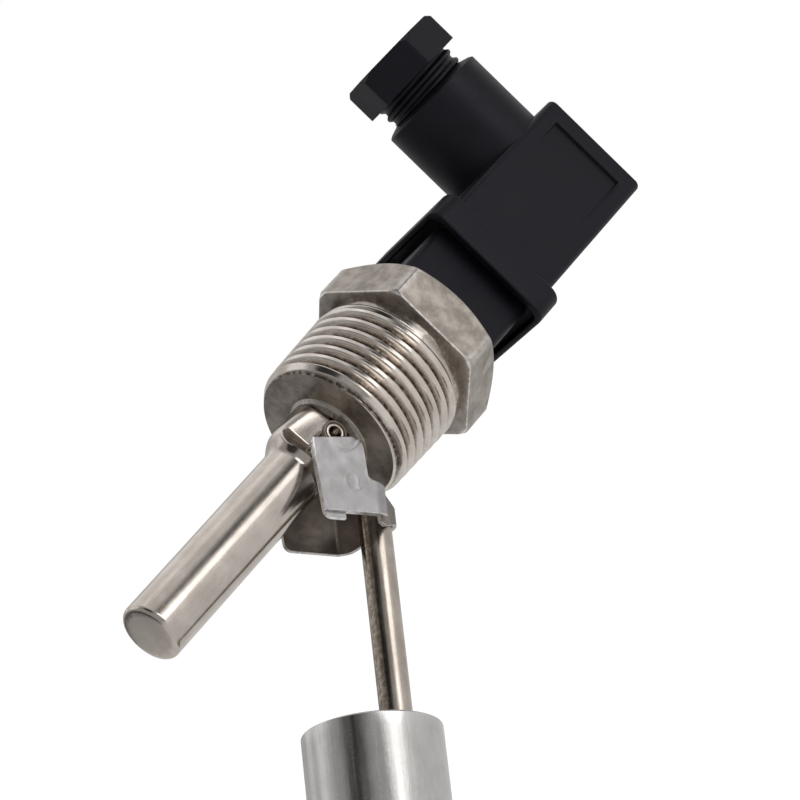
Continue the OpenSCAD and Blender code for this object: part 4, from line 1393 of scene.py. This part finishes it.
@dataclass(frozen=True)
class Viewpoint:
    """The camera, placed by its position and its own directions in metres."""

    position: tuple = (0.24315, 0.31869, 0.01940)
    right: tuple = (-0.5301, 0.4511, -0.7180)
    up: tuple = (-0.5987, 0.4005, 0.6937)
    back: tuple = (0.6004, 0.7976, 0.0578)
    lens: float = 144.0

    def direction(self, right: float, up: float, back: float) -> Vector:
        """A direction given by its shares of the camera's right, up and back."""
        return (Vector(self.right) * right + Vector(self.up) * up + Vector(self.back) * back).normalized()

    def build(self) -> None:
        """Makes the camera: its turn is the matrix whose columns are right, up and back."""
        data = bpy.data.cameras.new("studio_camera")
        data.lens, data.sensor_width = self.lens, 36.0
        data.clip_start, data.clip_end = 0.01, 10.0
        camera = show("studio_camera", data)
        right = Vector(self.right).normalized()
        back = (Vector(self.back) - right * right.dot(Vector(self.back))).normalized()
        turn = Matrix((right, back.cross(right), back)).transposed()
        camera.matrix_world = Matrix.Translation(Vector(self.position)) @ turn.to_4x4()
        bpy.context.scene.camera = camera


@dataclass(frozen=True)
class Lamp:
    """A soft lamp of the studio, by its direction from the part in the camera's terms."""

    name: str
    towards: tuple
    distance: float
    width: float
    height: float
    power: float


LAMPS = (
    Lamp("key_lamp", (0.38, 0.73, 0.57), 0.6, 0.2, 0.34, 0.42),
    Lamp("side_lamp", (0.9, 0.38, 0.15), 0.6, 0.2, 0.34, 0.2),
    Lamp("far_lamp", (-0.9, 0.3, -0.1), 0.6, 0.3, 0.4, 0.16),
)


@dataclass(frozen=True)
class Glow:
    """A lighter or darker patch of the room that metal reflects, by its direction in the camera's terms.

    It is full within the inner angle and gone past the outer one, both in degrees.
    """

    towards: tuple
    inner: float
    outer: float
    amount: float


GLOWS = (
    Glow((0.64, 0.7, 0.32), 7, 15, 1.25),
    Glow((0.95, 0.28, 0.1), 10, 24, 0.08),
    Glow((-0.52, 0.64, 0.57), 12, 22, -0.45),
    Glow((-0.95, 0.2, -0.2), 15, 35, 0.03),
    Glow((-0.71, 0.05, -0.7), 25, 45, 0.12),
    Glow((0.68, 0.21, -0.7), 20, 40, 0.45),
    Glow((0.9, -0.25, -0.3), 8, 20, -0.22),
    Glow((-0.5, -0.8, -0.1), 25, 50, -0.28),
    Glow((-0.04, 1.0, -0.1), 12, 30, 0.3),
    Glow((-0.36, 0.72, -0.6), 15, 38, 0.45),
    Glow((0.33, 0.93, 0.15), 7, 15, -0.3),
    Glow((0.1, -0.76, -0.65), 8, 20, 0.8),
    Glow((-0.77, 0.07, -0.63), 4, 10, 0.6),
    Glow((0.35, -0.6, 0.7), 20, 45, -0.15),
)


@dataclass
class Studio:
    """Soft lamps, the floor and the white surroundings."""

    viewpoint: Viewpoint
    centre: tuple = (0.012, 0.0, -0.012)
    floor_z: float = -0.0667
    floor_half: float = 1.2
    floor_glow: float = 0.55
    glossy_floor: float = 0.25
    fill: float = 0.55
    room: float = 0.36
    least_room: float = 0.03

    def build(self) -> None:
        """Makes the lamps, the floor and the world."""
        for lamp in LAMPS:
            towards = self.viewpoint.direction(*lamp.towards)
            place = Vector(self.centre) + towards * lamp.distance
            turn = towards.to_track_quat("Z", "Y").to_matrix().to_4x4()
            data = bpy.data.lights.new(lamp.name, "AREA")
            data.shape, data.size, data.size_y, data.energy = "RECTANGLE", lamp.width, lamp.height, lamp.power
            show(lamp.name, data).matrix_world = Matrix.Translation(place) @ turn
        self.floor()
        self.world()

    def floor(self) -> None:
        """Makes the pale floor, which adds a little glow of its own for the camera."""
        mesh = bpy.data.meshes.new("floor")
        half = self.floor_half
        corners = [(x * half, y * half, self.floor_z) for x, y in ((-1, -1), (1, -1), (1, 1), (-1, 1))]
        mesh.from_pydata(corners, [], [(0, 1, 2, 3)])
        floor = show("floor", mesh)
        settings = {"Base Color": (0.9, 0.9, 0.9, 1), "Roughness": 0.9, "Emission Color": (1, 1, 1, 1)}
        material, w, shader = begin_material("pale_floor", settings)
        path = w.add("ShaderNodeLightPath").outputs
        seen = w.math("MULTIPLY_ADD", path["Is Glossy Ray"], self.glossy_floor, path["Is Camera Ray"])
        w.fill(shader["Emission Strength"], w.math("MULTIPLY", seen, self.floor_glow))
        mesh.materials.append(material)

    def world(self) -> None:
        """Makes the surroundings: white where they are seen, soft light elsewhere, and for metal a room.

        The room's strength is a plain value plus, for each glow, a smooth step of the cosine of the angle
        between a ray and the glow's direction.
        """
        world = bpy.data.worlds.new("white_room")
        bpy.context.scene.world = world
        world.use_nodes = True
        w = Wiring(world.node_tree)
        background = world.node_tree.nodes["Background"].inputs
        path = w.add("ShaderNodeLightPath").outputs
        direction = w.add("ShaderNodeTexCoord").outputs["Generated"]
        room = self.room
        for glow in GLOWS:
            centre = tuple(self.viewpoint.direction(*glow.towards))
            share = w.add("ShaderNodeVectorMath", {"operation": "DOT_PRODUCT"}, n0=direction, n1=centre)
            outer, inner = (math.cos(math.radians(angle)) for angle in (glow.outer, glow.inner))
            room = w.math("ADD", room, w.ramp(share.outputs["Value"], outer, inner, 0.0, glow.amount))
        room = w.math("MAXIMUM", room, self.least_room)
        seen = w.math("MAXIMUM", path["Is Camera Ray"], path["Is Transmission Ray"])
        glossy = w.math("MULTIPLY_ADD", path["Is Glossy Ray"], w.math("SUBTRACT", room, self.fill), self.fill)
        background[0].default_value = (1, 1, 1, 1)
        w.fill(background[1], w.math("MAXIMUM", seen, glossy))


def main() -> None:
    """Builds the part's looks and its studio, in order."""
    logging.basicConfig(level=logging.INFO, format="%(message)s")
    view = Viewpoint()
    view.build()
    maker = Maker()
    maker.finish_solids()
    assemblies = (
        ProcessPlug, Stem, HingePin, PlugHousing, ConnectorBase, GlandNut, HingeBracket, CoverPlate, FloatArm,
    )
    for assembly in assemblies:
        assembly(maker).build()
    Studio(view).build()
    bpy.context.scene.view_settings.view_transform = "Standard"


if __name__ == "__main__":
    main()
